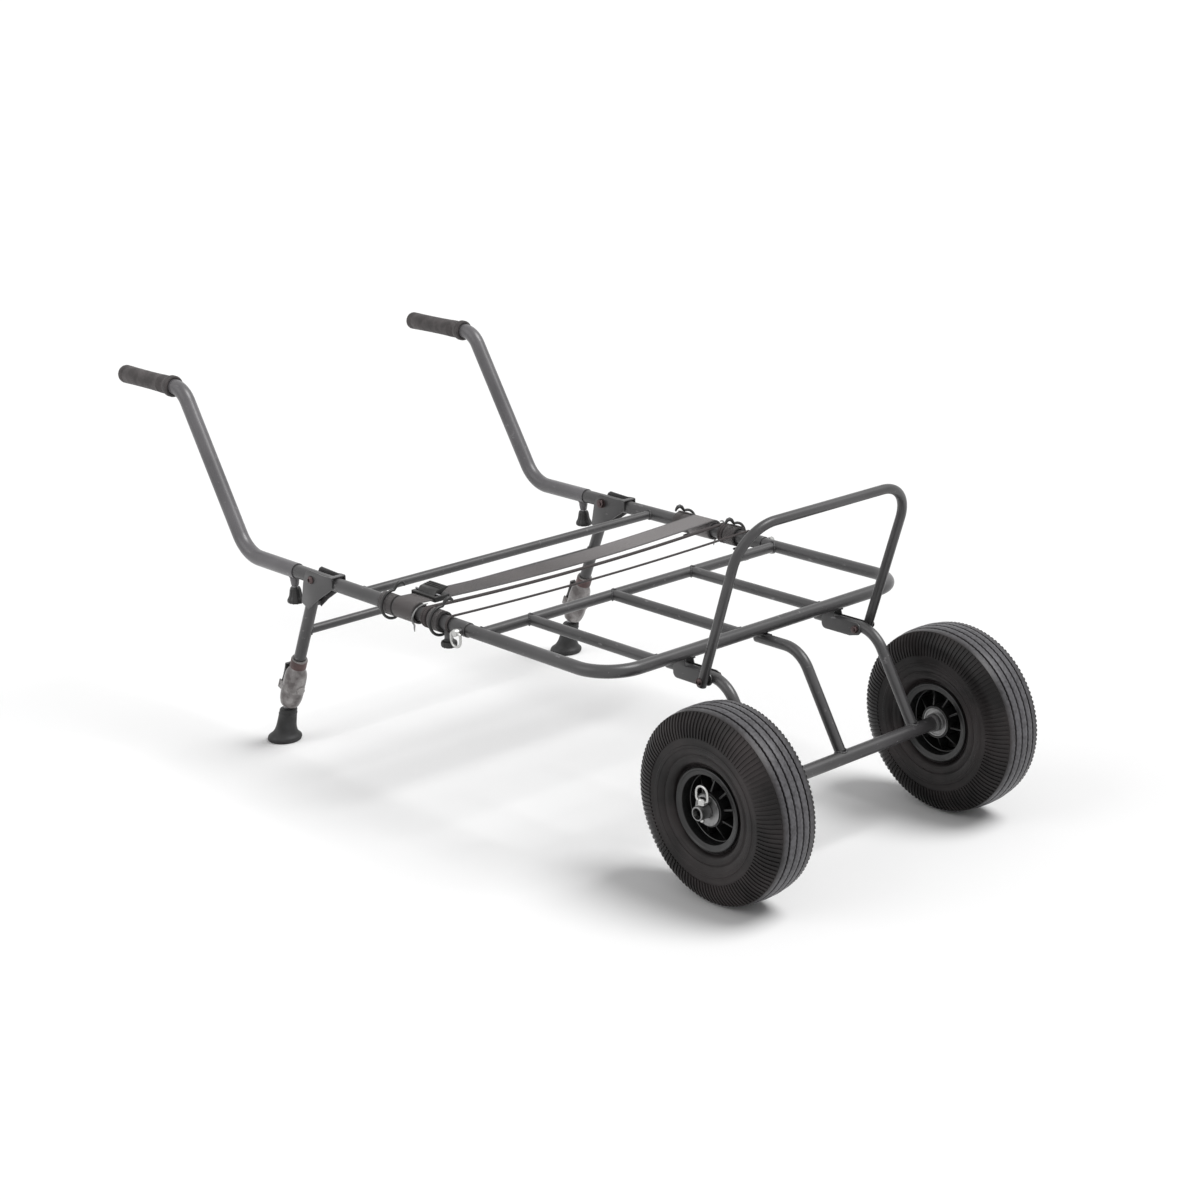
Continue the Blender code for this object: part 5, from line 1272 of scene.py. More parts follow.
@dataclass
class FrontSection:
    """U-shaped front tube with its crossbar, deck bars, forks and brackets."""

    corner: float = 0.060
    tail_y: float = 0.665
    tail_bore: float = 0.008
    slot_y: Pair = (0.4454, 0.5726)
    slot_half: float = 0.0036
    deck_x: tuple[float, float, float] = (-0.207, -0.045, 0.117)
    fork: float = 0.008
    fork_x: float = 0.150
    fork_z: float = 0.270
    fork_slope: float = math.radians(30.0)
    fork_bend: float = 0.050
    sheet: float = 0.002
    base_z: float = 0.2555
    bead: float = 0.0013

    def front_tube(self) -> None:
        """Bend the front tube and mill the pins' slots."""
        x, y, z = LAYOUT.rail_x, LAYOUT.front_y, LAYOUT.rail_z
        corners = [(-x, self.tail_y, z), (-x, y, z), (x, y, z), (x, self.tail_y, z)]
        tube = Bench.pipe("front_tube_look", corners, [self.corner] * 2, LAYOUT.front, 40, 18)
        for side in Side:
            low, high = sorted((side.value * (x + LAYOUT.front - 0.003), side.value * (x + 0.012)))
            near, far = self.slot_y
            slot = Bench.box("slot", (low, near, z - self.slot_half), (high, far, z + self.slot_half))
            start, end = (side.rail, self.tail_y - 0.03, z), (side.rail, self.tail_y + 0.01, z)
            Bench.cut(tube, slot, Bench.rod("bore", start, end, self.tail_bore))
        Bench.settle(tube, FRAME_PAINT, "front_frame", "front_tube")

    def deck(self) -> list[Piece]:
        """Add the middle crossbar and the straight, level deck bars.

        Returns:
            Their weld beads.
        """
        z = LAYOUT.rail_z
        end = LAYOUT.rail_x - LAYOUT.front + 0.0015
        bar = Bench.rod("crossbar_mid_look", (-end, LAYOUT.mid_y, z), (end, LAYOUT.mid_y, z), LAYOUT.deck)
        Bench.settle(bar, FRAME_PAINT, "front_frame", "crossbar_mid")
        beads = []
        for side in Side:
            inwards = (-side.value, 0.0, 0.0)
            beads.append(weld((side.rail, LAYOUT.mid_y, z), inwards, LAYOUT.deck, REARWARDS, LAYOUT.front))
        front, rear = LAYOUT.front_y, LAYOUT.mid_y
        for name, x in zip(("right", "centre", "left"), self.deck_x):
            node = f"deck_bar_{name}"
            bar = Bench.rod(node + "_look", (x, front + 0.0075, z), (x, rear - 0.0062, z), LAYOUT.deck, 40)
            Bench.settle(bar, FRAME_PAINT, "front_frame", node)
            for y, run, host in ((front, 1.0, LAYOUT.front), (rear, -1.0, LAYOUT.deck + 0.0002)):
                beads.append(weld((x, y, z), (0.0, run, 0.0), LAYOUT.deck, LEFTWARDS, host, self.bead))
        return beads

    def fork_pipe(self, name: str, x: float, run_z: float, end_y: float) -> Piece:
        """Bend one fork tube down to the axle.

        Args:
            name: The piece's name.
            x: Its place across the barrow.
            run_z: Height of its level run.
            end_y: Rear end of that run.

        Returns:
            The fork tube.
        """
        corner = (run_z - LAYOUT.axle_z) * math.tan(self.fork_slope)
        reach = LAYOUT.axle - 0.0008
        end = (x, reach * math.sin(self.fork_slope), LAYOUT.axle_z + reach * math.cos(self.fork_slope))
        corners = [(x, end_y, run_z), (x, corner, run_z), end]
        tube = Bench.pipe(name, corners, [self.fork_bend], self.fork, 32, 14)
        bore = Bench.rod("bore", (x, end_y - 0.012, run_z), (x, end_y + 0.004, run_z), self.fork - 0.0014)
        return Bench.cut(tube, bore)

    def bracket(self, side: Side) -> Piece:
        """Fold the channel that carries a side fork and the guard.

        Args:
            side: The side.

        Returns:
            The bracket.
        """
        x, half = side.value * self.fork_x, self.fork - 0.0005 + self.sheet
        outline = arc(0.0095, -90.0, -270.0, 10, (LAYOUT.guard_y, LAYOUT.guard_z))
        outline += [(0.1475, 0.2775), (0.1500, 0.2862), (0.1620, 0.2862)]
        outline += [(0.1668, 0.2775), (0.1720, 0.2725)]
        outline += arc(0.008, 0.0, -90.0, 6, (0.164, 0.2635)) + [(0.117, self.base_z)]
        corners = [(x - half, y, z) for y, z in outline]
        channel = Bench.slab(f"bracket_{side.word}", corners, (2 * half, 0.0, 0.0), 0.0009)
        inside, y, z = half - self.sheet, LAYOUT.front_y, LAYOUT.rail_z
        low, high = (x - inside, 0.0, self.base_z + self.sheet), (x + inside, y + 0.1, z + 0.005)
        hollow = Bench.box("inside", low, high)
        saddle = Bench.rod("saddle", (x - 0.03, y, z), (x + 0.03, y, z), LAYOUT.front + 0.0001, 48)
        return Bench.cut(channel, hollow, saddle)

    def forks(self) -> list[Piece]:
        """Add the three forks and the two brackets.

        Returns:
            Their weld beads.
        """
        beads = []
        uphill = (0.0, math.sin(self.fork_slope), math.cos(self.fork_slope))
        for side in Side:
            x = side.value * self.fork_x
            fork = self.fork_pipe(f"fork_{side.word}_look", x, self.fork_z, 0.190)
            Bench.unite(fork, self.bracket(side))
            Bench.settle(fork, FRAME_PAINT, "front_frame", f"fork_{side.word}")
            beads.append(weld((x, 0.0, LAYOUT.axle_z), uphill, self.fork, LEFTWARDS, LAYOUT.axle))
            for edge in (-0.0088, 0.0088):
                seat = arc(LAYOUT.front + 0.0009, -115.0, -58.0, 20, (LAYOUT.front_y, LAYOUT.rail_z))
                path = [(x + edge, y, z) for y, z in seat]
                beads.append(Bench.sweep("bead", path, ripples(0.0011, len(path)), 10))
        centre_z = LAYOUT.rail_z - LAYOUT.front - 0.0003 - self.fork
        fork = self.fork_pipe("fork_centre_look", 0.0, centre_z, LAYOUT.front_y + 0.014)
        Bench.settle(fork, FRAME_PAINT, "front_frame", "fork_centre")
        beads.append(weld((0.0, 0.0, LAYOUT.axle_z), uphill, self.fork, LEFTWARDS, LAYOUT.axle))
        for turn in (-1, 1):
            z = LAYOUT.rail_z - LAYOUT.front - 0.0012
            path = [(turn * 0.0034, LAYOUT.front_y + step * 0.0011 - 0.011, z) for step in range(21)]
            beads.append(Bench.sweep("bead", path, ripples(self.bead, len(path)), 10))
        return beads

    def build(self) -> None:
        """Make the front section and join its weld beads."""
        self.front_tube()
        beads = self.deck() + self.forks()
        Bench.settle(Bench.unite(*beads, name="front_welds"), WELD_PAINT, "front_frame")


@dataclass
class Bolt:
    """Dome-headed bolt along X, with its hexagon nut and the washer under the nut.

    Its seats are the distances from the barrow's middle to the nut's seat and to the head's.
    """

    node: str
    side: Side
    seats: Pair
    y: float
    z: float
    body: str
    head: float
    height: float
    shank: float

    def build(self) -> None:
        """Make the bolt."""
        nut, top = self.seats[0] - 0.0003, self.seats[1] + 0.0003
        deep = nut - 1.6 * self.shank
        dome = ((0.0, 0.62), (0.40, 0.62), (0.42, 0.97), (0.66, 0.86), (0.88, 0.56))
        dome += ((1.0, 0.16), (1.0, 0.0))
        profile = [(self.head * across, top + self.height * up) for across, up in dome]
        profile += [(self.shank, top), (self.shank, deep - 0.0016)]
        profile += [(self.shank * 0.8, deep - 0.0020), (0.0, deep - 0.0020)]
        bolt = Bench.lathe(self.node + "_look", profile, 40)
        end = (0.0, 0.0, nut)
        hexagon = Bench.rod("nut", (0.0, 0.0, deep), end, 1.9 * self.shank, 6, 0.0004)
        collar = Bench.rod("nut_washer", (0.0, 0.0, nut - 0.0008), end, 2.0 * self.shank, 36, 0.0002)
        Bench.unite(bolt, hexagon, collar)
        Bench.lay(bolt, self.side.turn, (0.0, self.y, self.z))
        Bench.settle(bolt, BLACK_STEEL, self.body, self.node)


@dataclass
class Guard:
    """Loop that stops the load, on two pivot bolts."""

    radius: float = 0.007
    pivot_x: float = 0.1668
    lean: float = math.radians(19.0)
    top_z: float = 0.497
    corner: float = 0.060
    tail: float = 0.009
    nut_x: float = 0.1405

    def build(self) -> None:
        """Bend the loop, plug its ends and add its bolts."""
        along = Vector((0.0, -math.sin(self.lean), math.cos(self.lean)))
        length = (self.top_z - LAYOUT.guard_z) / along.z
        corners = []
        for sign, reach in ((-1, 0.0006 - self.tail), (-1, length), (1, length), (1, 0.0006 - self.tail)):
            corners.append(Vector((sign * self.pivot_x, LAYOUT.guard_y, LAYOUT.guard_z)) + along * reach)
        loop = Bench.pipe("guard_loop_look", corners, [self.corner] * 2, self.radius, 36, 18)
        Bench.settle(loop, FRAME_PAINT, "guard", "guard_loop")
        for side in Side:
            pivot = Vector((side.value * self.pivot_x, LAYOUT.guard_y, LAYOUT.guard_z))
            top, end = pivot - along * (self.tail - 0.0030), pivot - along * self.tail
            plug = Bench.rod(f"guard_plug_{side.word}", top, end, self.radius - 0.0007, 32, 0.0006)
            Bench.settle(plug, BLACK_PLASTIC, "guard")
            node, seats = f"guard_bolt_{side.word}", (self.nut_x, self.pivot_x + self.radius)
            place = (LAYOUT.guard_y, LAYOUT.guard_z)
            Bolt(node, side, seats, *place, "front_frame", head=0.0055, height=0.004, shank=0.003).build()


@dataclass
class RearSection:
    """Side rails with their bosses, the rear crossbar, and the clamps of the front section."""

    bore: float = 0.0098
    front_y: float = 0.443
    bar_y: float = 0.702
    bar: float = 0.007
    pin_y: float = 0.449
    pin_boss: float = 0.005
    pin_boss_x: float = 0.3165
    knob_y: float = 0.4915
    knob_boss: float = 0.0065
    knob_boss_z: float = 0.272
    knob: float = 0.012
    knob_top: float = 0.2717
    screw: float = 0.0028
    screw_z: Pair = (0.2700, 0.2852)
    pin_reach: Pair = (0.0168, 0.0248)
    ring_x: float = 0.3208

    def rail(self, side: Side) -> list[Piece]:
        """Turn one rail and add its bosses.

        Args:
            side: The side.

        Returns:
            The weld beads of its bosses and of the rear crossbar.
        """
        x, z, radius = side.rail, LAYOUT.rail_z, LAYOUT.rail
        front, rear = self.front_y, LAYOUT.rail_end
        profile = [(radius - 0.0004, rear), (radius, rear - 0.0004), (radius, front + 0.0005)]
        profile += [(radius - 0.0005, front), (self.bore, front), (self.bore, rear)]
        rail = Bench.lathe(f"rail_{side.word}_look", profile, 48, closed=True)
        Bench.lay(rail, Matrix.Rotation(-QUARTER, 3, "X"), (x, 0.0, z))
        inside, outside = side.value * (LAYOUT.rail_x + 0.0102), side.value * self.pin_boss_x
        y = self.pin_y
        pin_boss = Bench.rod("boss", (inside, y, z), (outside, y, z), self.pin_boss, 32, 0.0005)
        y, low = self.knob_y, self.knob_boss_z
        knob_boss = Bench.rod("boss", (x, y, z - 0.0102), (x, y, low), self.knob_boss, 32, 0.0006)
        Bench.unite(rail, pin_boss, knob_boss)
        Bench.settle(rail, FRAME_PAINT, "rear_frame", f"rail_{side.word}")
        return [
            weld((x, self.pin_y, z), (side.value, 0.0, 0.0), self.pin_boss, REARWARDS, radius, 0.0009),
            weld((x, self.knob_y, z), (0.0, 0.0, -1.0), self.knob_boss, REARWARDS, radius, 0.0011),
            weld((x, self.bar_y, z), (-side.value, 0.0, 0.0), self.bar, REARWARDS, radius),
        ]

    def section_pin(self, side: Side) -> None:
        """Add one side's locking pin and its pull ring.

        Args:
            side: The side.
        """
        low, high = self.pin_reach
        profile = [(0.0, high), (0.0036, high), (0.0048, high - 0.0006), (0.0055, high - 0.0018)]
        profile += [(0.0055, low + 0.0016), (0.0050, low + 0.0010), (0.0050, low)]
        profile += [(0.0030, low), (0.0030, 0.0068), (0.0, 0.0068)]
        pin = Bench.lathe(f"section_pin_{side.word}_look", profile, 40)
        Bench.lay(pin, side.turn, (side.rail, self.pin_y, LAYOUT.rail_z))
        Bench.settle(pin, BRIGHT_STEEL, f"section_pin_body_{side.word}", f"section_pin_{side.word}")
        hang_ring("pull_ring", side, -RING.length, (side.value * self.ring_x, self.pin_y, LAYOUT.rail_z))

    def section_knob(self, side: Side) -> None:
        """Add one side's fluted thumb screw and its bright stem.

        Args:
            side: The side.
        """
        top, radius = self.knob_top, self.knob
        cap = ((0.0, 0.0135), (0.55, 0.0135), (0.86, 0.0118), (0.97, 0.0090), (0.97, 0.0060))
        neck = ((0.88, 0.0036), (0.60, 0.0022), (0.56, 0.0), (0.0, 0.0))
        profile = [(radius * across, top - down) for across, down in cap + neck]
        knob = Bench.lathe(f"section_knob_{side.word}_look", profile, 48)
        Bench.flute(knob, 0.0005, top - 0.0122, top - 0.0036, 2)
        Bench.move(knob, (side.rail, self.knob_y, 0.0))
        Bench.settle(knob, BLACK_PLASTIC, f"section_knob_body_{side.word}", f"section_knob_{side.word}")
        low, high = [(side.rail, self.knob_y, z) for z in self.screw_z]
        stem = Bench.rod(f"section_screw_{side.word}", low, high, self.screw, 32, 0.0004)
        Bench.settle(stem, TUBE_STEEL, f"section_knob_body_{side.word}")

    def build(self) -> None:
        """Make the rails, the crossbar, the pins and the knobs."""
        end = LAYOUT.rail_x - LAYOUT.rail + 0.0015
        y, z = self.bar_y, LAYOUT.rail_z
        bar = Bench.rod("crossbar_rear_look", (-end, y, z), (end, y, z), self.bar)
        Bench.settle(bar, FRAME_PAINT, "rear_frame", "crossbar_rear")
        beads = []
        for side in Side:
            beads += self.rail(side)
            self.section_pin(side)
            self.section_knob(side)
        Bench.settle(Bench.unite(*beads, name="rear_welds"), WELD_PAINT, "rear_frame")


@dataclass
class Handle:
    """Cranked handle that slides over a rail's end, with its grip and clamp knob."""

    radius: float = 0.0125
    front_y: float = 0.865
    play: float = 0.003
    rise: float = 0.245
    rake: float = math.radians(32.3)
    bend: float = 0.062
    top_bend: float = 0.042
    grip_run: float = 0.176
    grip_start: float = 0.001
    grip_wall: float = 0.0022
    flange: float = 0.0175
    boss_y: float = 0.875
    knob_top: float = 0.2697
    knob_height: float = 0.028
    socket: float = 0.0113
    screw: float = 0.0028
    screw_z: Pair = (0.2665, 0.2837)
    collar: float = 0.0052
    collar_z: Pair = (0.2676, 0.2694)

    def tangent(self, bend: float) -> float:
        """Length that a bend takes from each of its runs."""
        return bend * math.tan((QUARTER - self.rake) / 2)

    def tube(self, side: Side) -> None:
        """Bend the handle's tube, bore its socket and add its boss.

        Args:
            side: The side.
        """
        x, z = side.rail, LAYOUT.rail_z
        corner = LAYOUT.rail_end + self.play + self.tangent(self.bend)
        top = corner + self.rise * math.tan(self.rake)
        end = top + self.grip_run - 0.0043
        corners = [(x, self.front_y, z), (x, corner, z), (x, top, z + self.rise), (x, end, z + self.rise)]
        node, bends = f"handle_{side.word}", [self.bend, self.top_bend]
        tube = Bench.pipe(node + "_look", corners, bends, self.radius, 40, 14)
        start, stop = (x, self.front_y - 0.01, z), (x, LAYOUT.rail_end + self.play, z)
        Bench.cut(tube, Bench.rod("bore", start, stop, self.socket, 40))
        low = z - self.radius - 0.0125
        profile = [(0.0029, z - 0.0119), (0.0075, z - 0.0119), (0.0072, z - 0.0160)]
        profile += [(0.0060, low + 0.0010), (0.0054, low), (0.0029, low)]
        boss = Bench.move(Bench.lathe("boss", profile, 36, closed=True), (x, self.boss_y, 0.0))
        bead = weld((x, self.boss_y, z), (0.0, 0.0, -1.0), 0.0074, REARWARDS, self.radius, 0.0010)
        Bench.unite(tube, boss, bead)
        Bench.settle(tube, HANDLE_PAINT, f"handle_body_{side.word}", node)
        self.grip(side, top + self.grip_run)

    def grip(self, side: Side, end_y: float) -> None:
        """Turn the rubber grip with its flange, rings and rounded end.

        Args:
            side: The side.
            end_y: Where the grip ends.
        """
        length = self.grip_run - self.grip_start - self.tangent(self.top_bend)
        inner = self.radius + 0.0003
        outer = inner + self.grip_wall
        groove = ((1.0, 0.0008), (0.965, 0.0003), (0.965, -0.0009), (1.0, -0.0014))
        nose = ((0.0, 0.0), (0.62, 0.0), (0.84, 0.0008), (0.95, 0.0024), (1.0, 0.0050))
        profile = [(outer * across, length - back) for across, back in nose]
        for ring in range(3):
            low = length - 0.0075 - ring * 0.0032
            profile += [(outer * across, low + up) for across, up in groove]
        palm = ((0.975, 0.80), (0.960, 0.60), (0.962, 0.42), (0.985, 0.26))
        profile += [(outer * across, length * share) for across, share in palm]
        for ring in range(6):
            low = 0.0330 - ring * 0.0030
            profile += [(outer * (1.005 if across == 1.0 else across), low + up) for across, up in groove]
        profile += [(outer * 1.01, 0.0140), (outer * 1.05, 0.0122), (self.flange - 0.0006, 0.0100)]
        profile += [(self.flange, 0.0088), (self.flange, 0.0024), (self.flange - 0.0004, 0.0010)]
        profile += [(self.flange - 0.0014, 0.0002), (inner + 0.0004, 0.0), (inner, 0.0004)]
        profile += [(inner, length - 0.0040), (0.0, length - 0.0040)]
        grip = Bench.lathe(f"grip_{side.word}_look", profile, 64)
        place = (side.rail, end_y - length, LAYOUT.rail_z + self.rise)
        Bench.lay(grip, Matrix.Rotation(-QUARTER, 3, "X"), place)
        Bench.settle(grip, GRIP_RUBBER, f"handle_body_{side.word}", f"grip_{side.word}", sharp=50.0)

    def knob(self, side: Side) -> None:
        """Add the bell knob and its bright stem.

        Args:
            side: The side.
        """
        top, low = self.knob_top, self.knob_top - self.knob_height
        bell = ((0.0, 0.0), (0.0095, 0.0), (0.0118, 0.0008), (0.0131, 0.0024), (0.0135, 0.0042))
        bell += ((0.0129, 0.0066), (0.0112, 0.0092), (0.0098, 0.0130))
        neck = ((0.0090, 0.0095), (0.0084, 0.0055), (0.0078, 0.0030), (0.0068, 0.0020), (0.0, 0.0020))
        profile = [(radius, low + up) for radius, up in bell]
        profile += [(radius, top - down) for radius, down in neck]
        knob = Bench.lathe(f"handle_knob_{side.word}_look", profile, 48)
        x, y = side.rail, self.boss_y
        Bench.flute(knob, 0.0004, low + 0.0008, top - 0.0055, 1)
        Bench.move(knob, (x, y, 0.0))
        Bench.settle(knob, BLACK_PLASTIC, f"handle_knob_body_{side.word}", f"handle_knob_{side.word}")
        low, high = [(x, y, z) for z in self.screw_z]
        stem = Bench.rod(f"handle_screw_{side.word}", low, high, self.screw, 32, 0.0004)
        low, high = [(x, y, z) for z in self.collar_z]
        collar = Bench.rod("collar", low, high, self.collar, 32, 0.0004)
        Bench.settle(Bench.unite(stem, collar), TUBE_STEEL, f"handle_knob_body_{side.word}")

    def build(self) -> None:
        """Make both handles."""
        for side in Side:
            self.tube(side)
            self.knob(side)


@dataclass
class Leg:
    """Folding legs with their yokes and brace, the telescopic clamps, levers and feet."""

    pivot_y: float = 0.812
    lean: float = math.radians(23.7)
    radius: float = 0.0095
    bore: float = 0.0083
    top: float = 0.036
    end: float = 0.168
    brace_drop: float = 0.103
    brace: float = 0.007
    yoke_in: float = 0.0113
    sheet: float = 0.002
    bridge_y: float = 0.050
    clamp_top: float = 0.1585
    clamp_end: float = 0.249
    clamp: float = 0.018
    lever_z: float = 0.225
    lever_half: float = 0.006
    foot_height: float = 0.057
    foot_shear: float = 0.307
    seats: Pair = (0.2867, 0.3133)
    slide: float = 0.008
    slide_z: Pair = (-0.100, -0.290)

    def stand(self, piece: Piece) -> Piece:
        """Move a piece from the leg's own frame to its place on the barrow."""
        return Bench.lay(piece, Matrix.Rotation(self.lean, 3, "X"), (0.0, self.pivot_y, LAYOUT.rail_z))

    def point(self, back: float, up: float) -> Pair:
        """Offset to the rear and upwards from the pivot, as (y, z) in the leg's own frame."""
        cos, sin = math.cos(self.lean), math.sin(self.lean)
        return (back * cos + up * sin, up * cos - back * sin)

    def leg(self, side: Side) -> None:
        """Make one leg tube and its folded yoke.

        Args:
            side: The side.
        """
        x = side.rail
        profile = [(self.radius, -self.top), (self.radius, -self.end + 0.0004)]
        profile += [(self.radius - 0.0004, -self.end), (self.bore, -self.end), (self.bore, -self.top)]
        leg = Bench.move(Bench.lathe(f"leg_{side.word}_look", profile, 40, closed=True), (x, 0.0, 0.0))
        outline = [(-self.radius, -0.050), (self.radius, -0.050), (0.0165, -0.015)]
        outline += [(0.0165, -0.004), (0.0150, 0.0060), (0.0115, 0.0112), (0.0060, 0.0132)]
        edge = ((0.014, 0.0130), (0.005, 0.0140), (-0.004, 0.0140))
        edge += ((-0.005, 0.0128), (-0.005, -0.0025), (-0.003, -0.0050))
        outline += [self.point(-self.bridge_y + back, up) for back, up in edge]
        outline.append((-0.021, -0.028))
        shapes = []
        for face in (-1, 1):
            near = x + face * self.yoke_in
            corners = [(near, y, z) for y, z in outline]
            shapes.append(Bench.slab("cheek", corners, (face * self.sheet, 0.0, 0.0), 0.0005))
        half = self.yoke_in + self.sheet - 0.0005
        low, high = (x - half, -0.008, -0.049), (x + half, 0.008, -0.040)
        shapes.append(Bench.box("crosspiece", low, high, 0.0008))
        y, wide = -self.bridge_y, 0.0046
        bridge = Bench.box("bridge", (x - half, y - wide, 0.0114), (x + half, y + wide, 0.0137), 0.0006)
        shapes.append(Bench.lay(bridge, Matrix.Rotation(-self.lean, 3, "X")))
        for face in (-1, 1):
            near = x + face * (self.yoke_in + 0.0004)
            path = [(near, self.radius - 2 * self.radius * step / 16, -0.0496) for step in range(17)]
            shapes.append(Bench.sweep("bead", path, ripples(0.0014, len(path), 2.1), 10))
        Bench.settle(self.stand(Bench.unite(leg, *shapes)), FRAME_PAINT, "leg_frame", f"leg_{side.word}")
        node, place = f"leg_bolt_{side.word}", (self.pivot_y, LAYOUT.rail_z)
        Bolt(node, side, self.seats, *place, "rear_frame", head=0.0065, height=0.004, shank=0.004).build()

    def crosspiece(self) -> None:
        """Add the brace between the legs with its welds."""
        end = LAYOUT.rail_x - self.radius + 0.0012
        z = -self.brace_drop
        brace = Bench.rod("leg_brace_look", (-end, 0.0, z), (end, 0.0, z), self.brace)
        beads = []
        for side in Side:
            inwards = (-side.value, 0.0, 0.0)
            beads.append(weld((side.rail, 0.0, z), inwards, self.brace, UPWARDS, self.radius))
        Bench.settle(self.stand(brace), FRAME_PAINT, "leg_frame", "leg_brace")
        Bench.settle(self.stand(Bench.unite(*beads, name="leg_welds")), WELD_PAINT, "leg_frame")

    def clamp_body(self, side: Side) -> None:
        """Turn the moulded clamp, add its band, split, cheeks, screw boss and lever.

        Args:
            side: The side.
        """
        x = side.rail
        top, end, wide, collar = self.clamp_top, self.clamp_end, self.clamp, 0.0125
        profile = [(collar - 0.0006, -top), (collar, -top - 0.0006), (collar, -top - 0.0180)]
        profile.append((collar + 0.0004, -top - 0.0205))
        shoulder = ((0.86, 0.0255), (0.94, 0.0300), (0.985, 0.0370), (1.0, 0.0450))
        profile += [(wide * across, -top - down) for across, down in shoulder]
        skirt = ((1.0, 0.0170), (0.985, 0.0120), (0.93, 0.0060), (0.86, 0.0014), (0.83, 0.0))
        profile += [(wide * across, -end + up) for across, up in skirt]
        seat = -self.end - 0.0003
        profile += [(self.bore, -end), (self.bore, seat), (0.0098, seat), (0.0098, -top)]
        body = Bench.lathe(f"leg_clamp_{side.word}_look", profile, 56, closed=True)
        Bench.move(body, (x, 0.0, 0.0))
        pivot = wide + 0.0046
        z = -self.lever_z
        low, high = (x - 0.0011, 0.009, -end - 0.01), (x + 0.0011, 0.030, -end + 0.046)
        Bench.cut(body, Bench.box("split", low, high))
        shapes, half = [], self.lever_half
        for face in (-1, 1):
            low, high = sorted((x + face * (half + 0.0003), x + face * (half + 0.0033)))
            low, high = (low, wide * 0.72, z - 0.008), (high, pivot + 0.004, z + 0.008)
            shapes.append(Bench.box("cheek", low, high, 0.0012))
        start, stop = (x, -wide * 0.8, z + 0.014), (x, -wide - 0.004, z + 0.014)
        shapes.append(Bench.rod("button", start, stop, 0.0065, 36, 0.0014))
        for step in range(3):
            low = -end + 0.0205 + step * 0.0065
            outline = [(wide - 0.001, low), (wide + 0.0002, low + 0.0004)]
            outline += [(wide + 0.0002, low + 0.0016), (wide - 0.001, low + 0.0020)]
            shapes.append(Bench.move(Bench.lathe("rib", outline, 56, closed=True), (x, 0.0, 0.0)))
        body = Bench.unite(body, *shapes)
        Bench.settle(self.stand(body), CLAMP_PLASTIC_PAINTED_GLINTS, "leg_frame", f"leg_clamp_{side.word}")
        low = -top - 0.0165
        outline = [(collar - 0.0004, low), (collar + 0.0007, low + 0.0006)]
        outline += [(collar + 0.0007, -top - 0.0026), (collar - 0.0004, -top - 0.0020)]
        band = Bench.lathe(f"leg_band_{side.word}", outline, 56, closed=True)
        Bench.move(band, (x, 0.0, 0.0))
        Bench.settle(self.stand(band), CLAMP_BAND, "leg_frame")
        self.lever(side, pivot)

    def lever(self, side: Side, pivot: float) -> None:
        """Make one cam lever with its barrel, arm and pin.

        Args:
            side: The side.
            pivot: Distance of its pin behind the leg's middle.
        """
        x, z, half = side.rail, -self.lever_z, self.lever_half
        node, body = f"leg_lever_{side.word}", f"leg_lever_body_{side.word}"
        barrel = Bench.rod(node + "_look", (x - half, pivot, z), (x + half, pivot, z), 0.004, 32, 0.0005)
        near = pivot - 0.0032
        outline = ((0.001, 0.0), (0.0, 0.010), (0.0, 0.028), (0.0008, 0.034), (0.003, 0.0395))
        outline += ((0.0062, 0.040), (0.0052, 0.033), (0.0043, 0.024), (0.0050, 0.012), (0.0066, 0.0))
        corners = [(x - half + 0.0005, near + back, z + up) for back, up in outline]
        arm = Bench.slab("arm", corners, (2 * half - 0.001, 0.0, 0.0), 0.0008)
        grips = []
        for step in range(5):
            y, rise, reach = near + 0.0050, z + 0.0200 + 0.0030 * step, half - 0.0012
            grips.append(Bench.rod("grip_line", (x - reach, y, rise), (x + reach, y, rise), 0.0006, 12))
        Bench.unite(barrel, arm, *grips)
        Bench.settle(self.stand(barrel), BLACK_PLASTIC, body, node)
        half += 0.0033
        start, stop = (x - half, pivot, z), (x + half, pivot, z)
        pin = Bench.rod(f"lever_pin_{side.word}", start, stop, 0.0015, 24, 0.0003)
        Bench.settle(self.stand(pin), TUBE_STEEL, body)

    def lower(self, side: Side) -> None:
        """Make the sliding lower tube and the flared rubber foot.

        Args:
            side: The side.
        """
        x = side.rail
        top, end = [(x, 0.0, z) for z in self.slide_z]
        slide = Bench.rod(f"leg_slide_{side.word}_look", top, end, self.slide, 36, 0.0004)
        Bench.settle(self.stand(slide), TUBE_STEEL, f"leg_lower_{side.word}", f"leg_slide_{side.word}")
        high, wide = self.foot_height, 0.0275
        neck = ((0.0, 0.0), (0.0118, 0.0), (0.0134, 0.0006), (0.0141, 0.0020), (0.0143, 0.0075))
        neck += ((0.0149, 0.0080), (0.0149, 0.0100), (0.0145, 0.0106))
        profile = [(radius, high - down) for radius, down in neck]
        bell = ((0.0150, 0.70), (0.0157, 0.54), (0.0167, 0.40), (0.0184, 0.30), (0.0208, 0.22))
        bell += ((0.0238, 0.165), (0.0262, 0.13), (0.0273, 0.095), (wide, 0.06))
        bell += ((0.0273, 0.022), (0.0264, 0.0), (0.0, 0.0))
        profile += [(radius, high * share) for radius, share in bell]
        foot = Bench.lathe(f"foot_{side.word}_look", profile, 56)
        Bench.edit(foot)
        shape = bmesh.from_edit_mesh(foot.data)
        for vertex in shape.verts:
            vertex.co.y += (high - vertex.co.z) * self.foot_shear
        bmesh.update_edit_mesh(foot.data)
        y = self.pivot_y + (LAYOUT.rail_z - high) * math.tan(self.lean)
        Bench.move(Bench.done(foot.name), (x, y, 0.0))
        Bench.settle(foot, FOOT_RUBBER, f"leg_lower_{side.word}", f"foot_{side.word}")

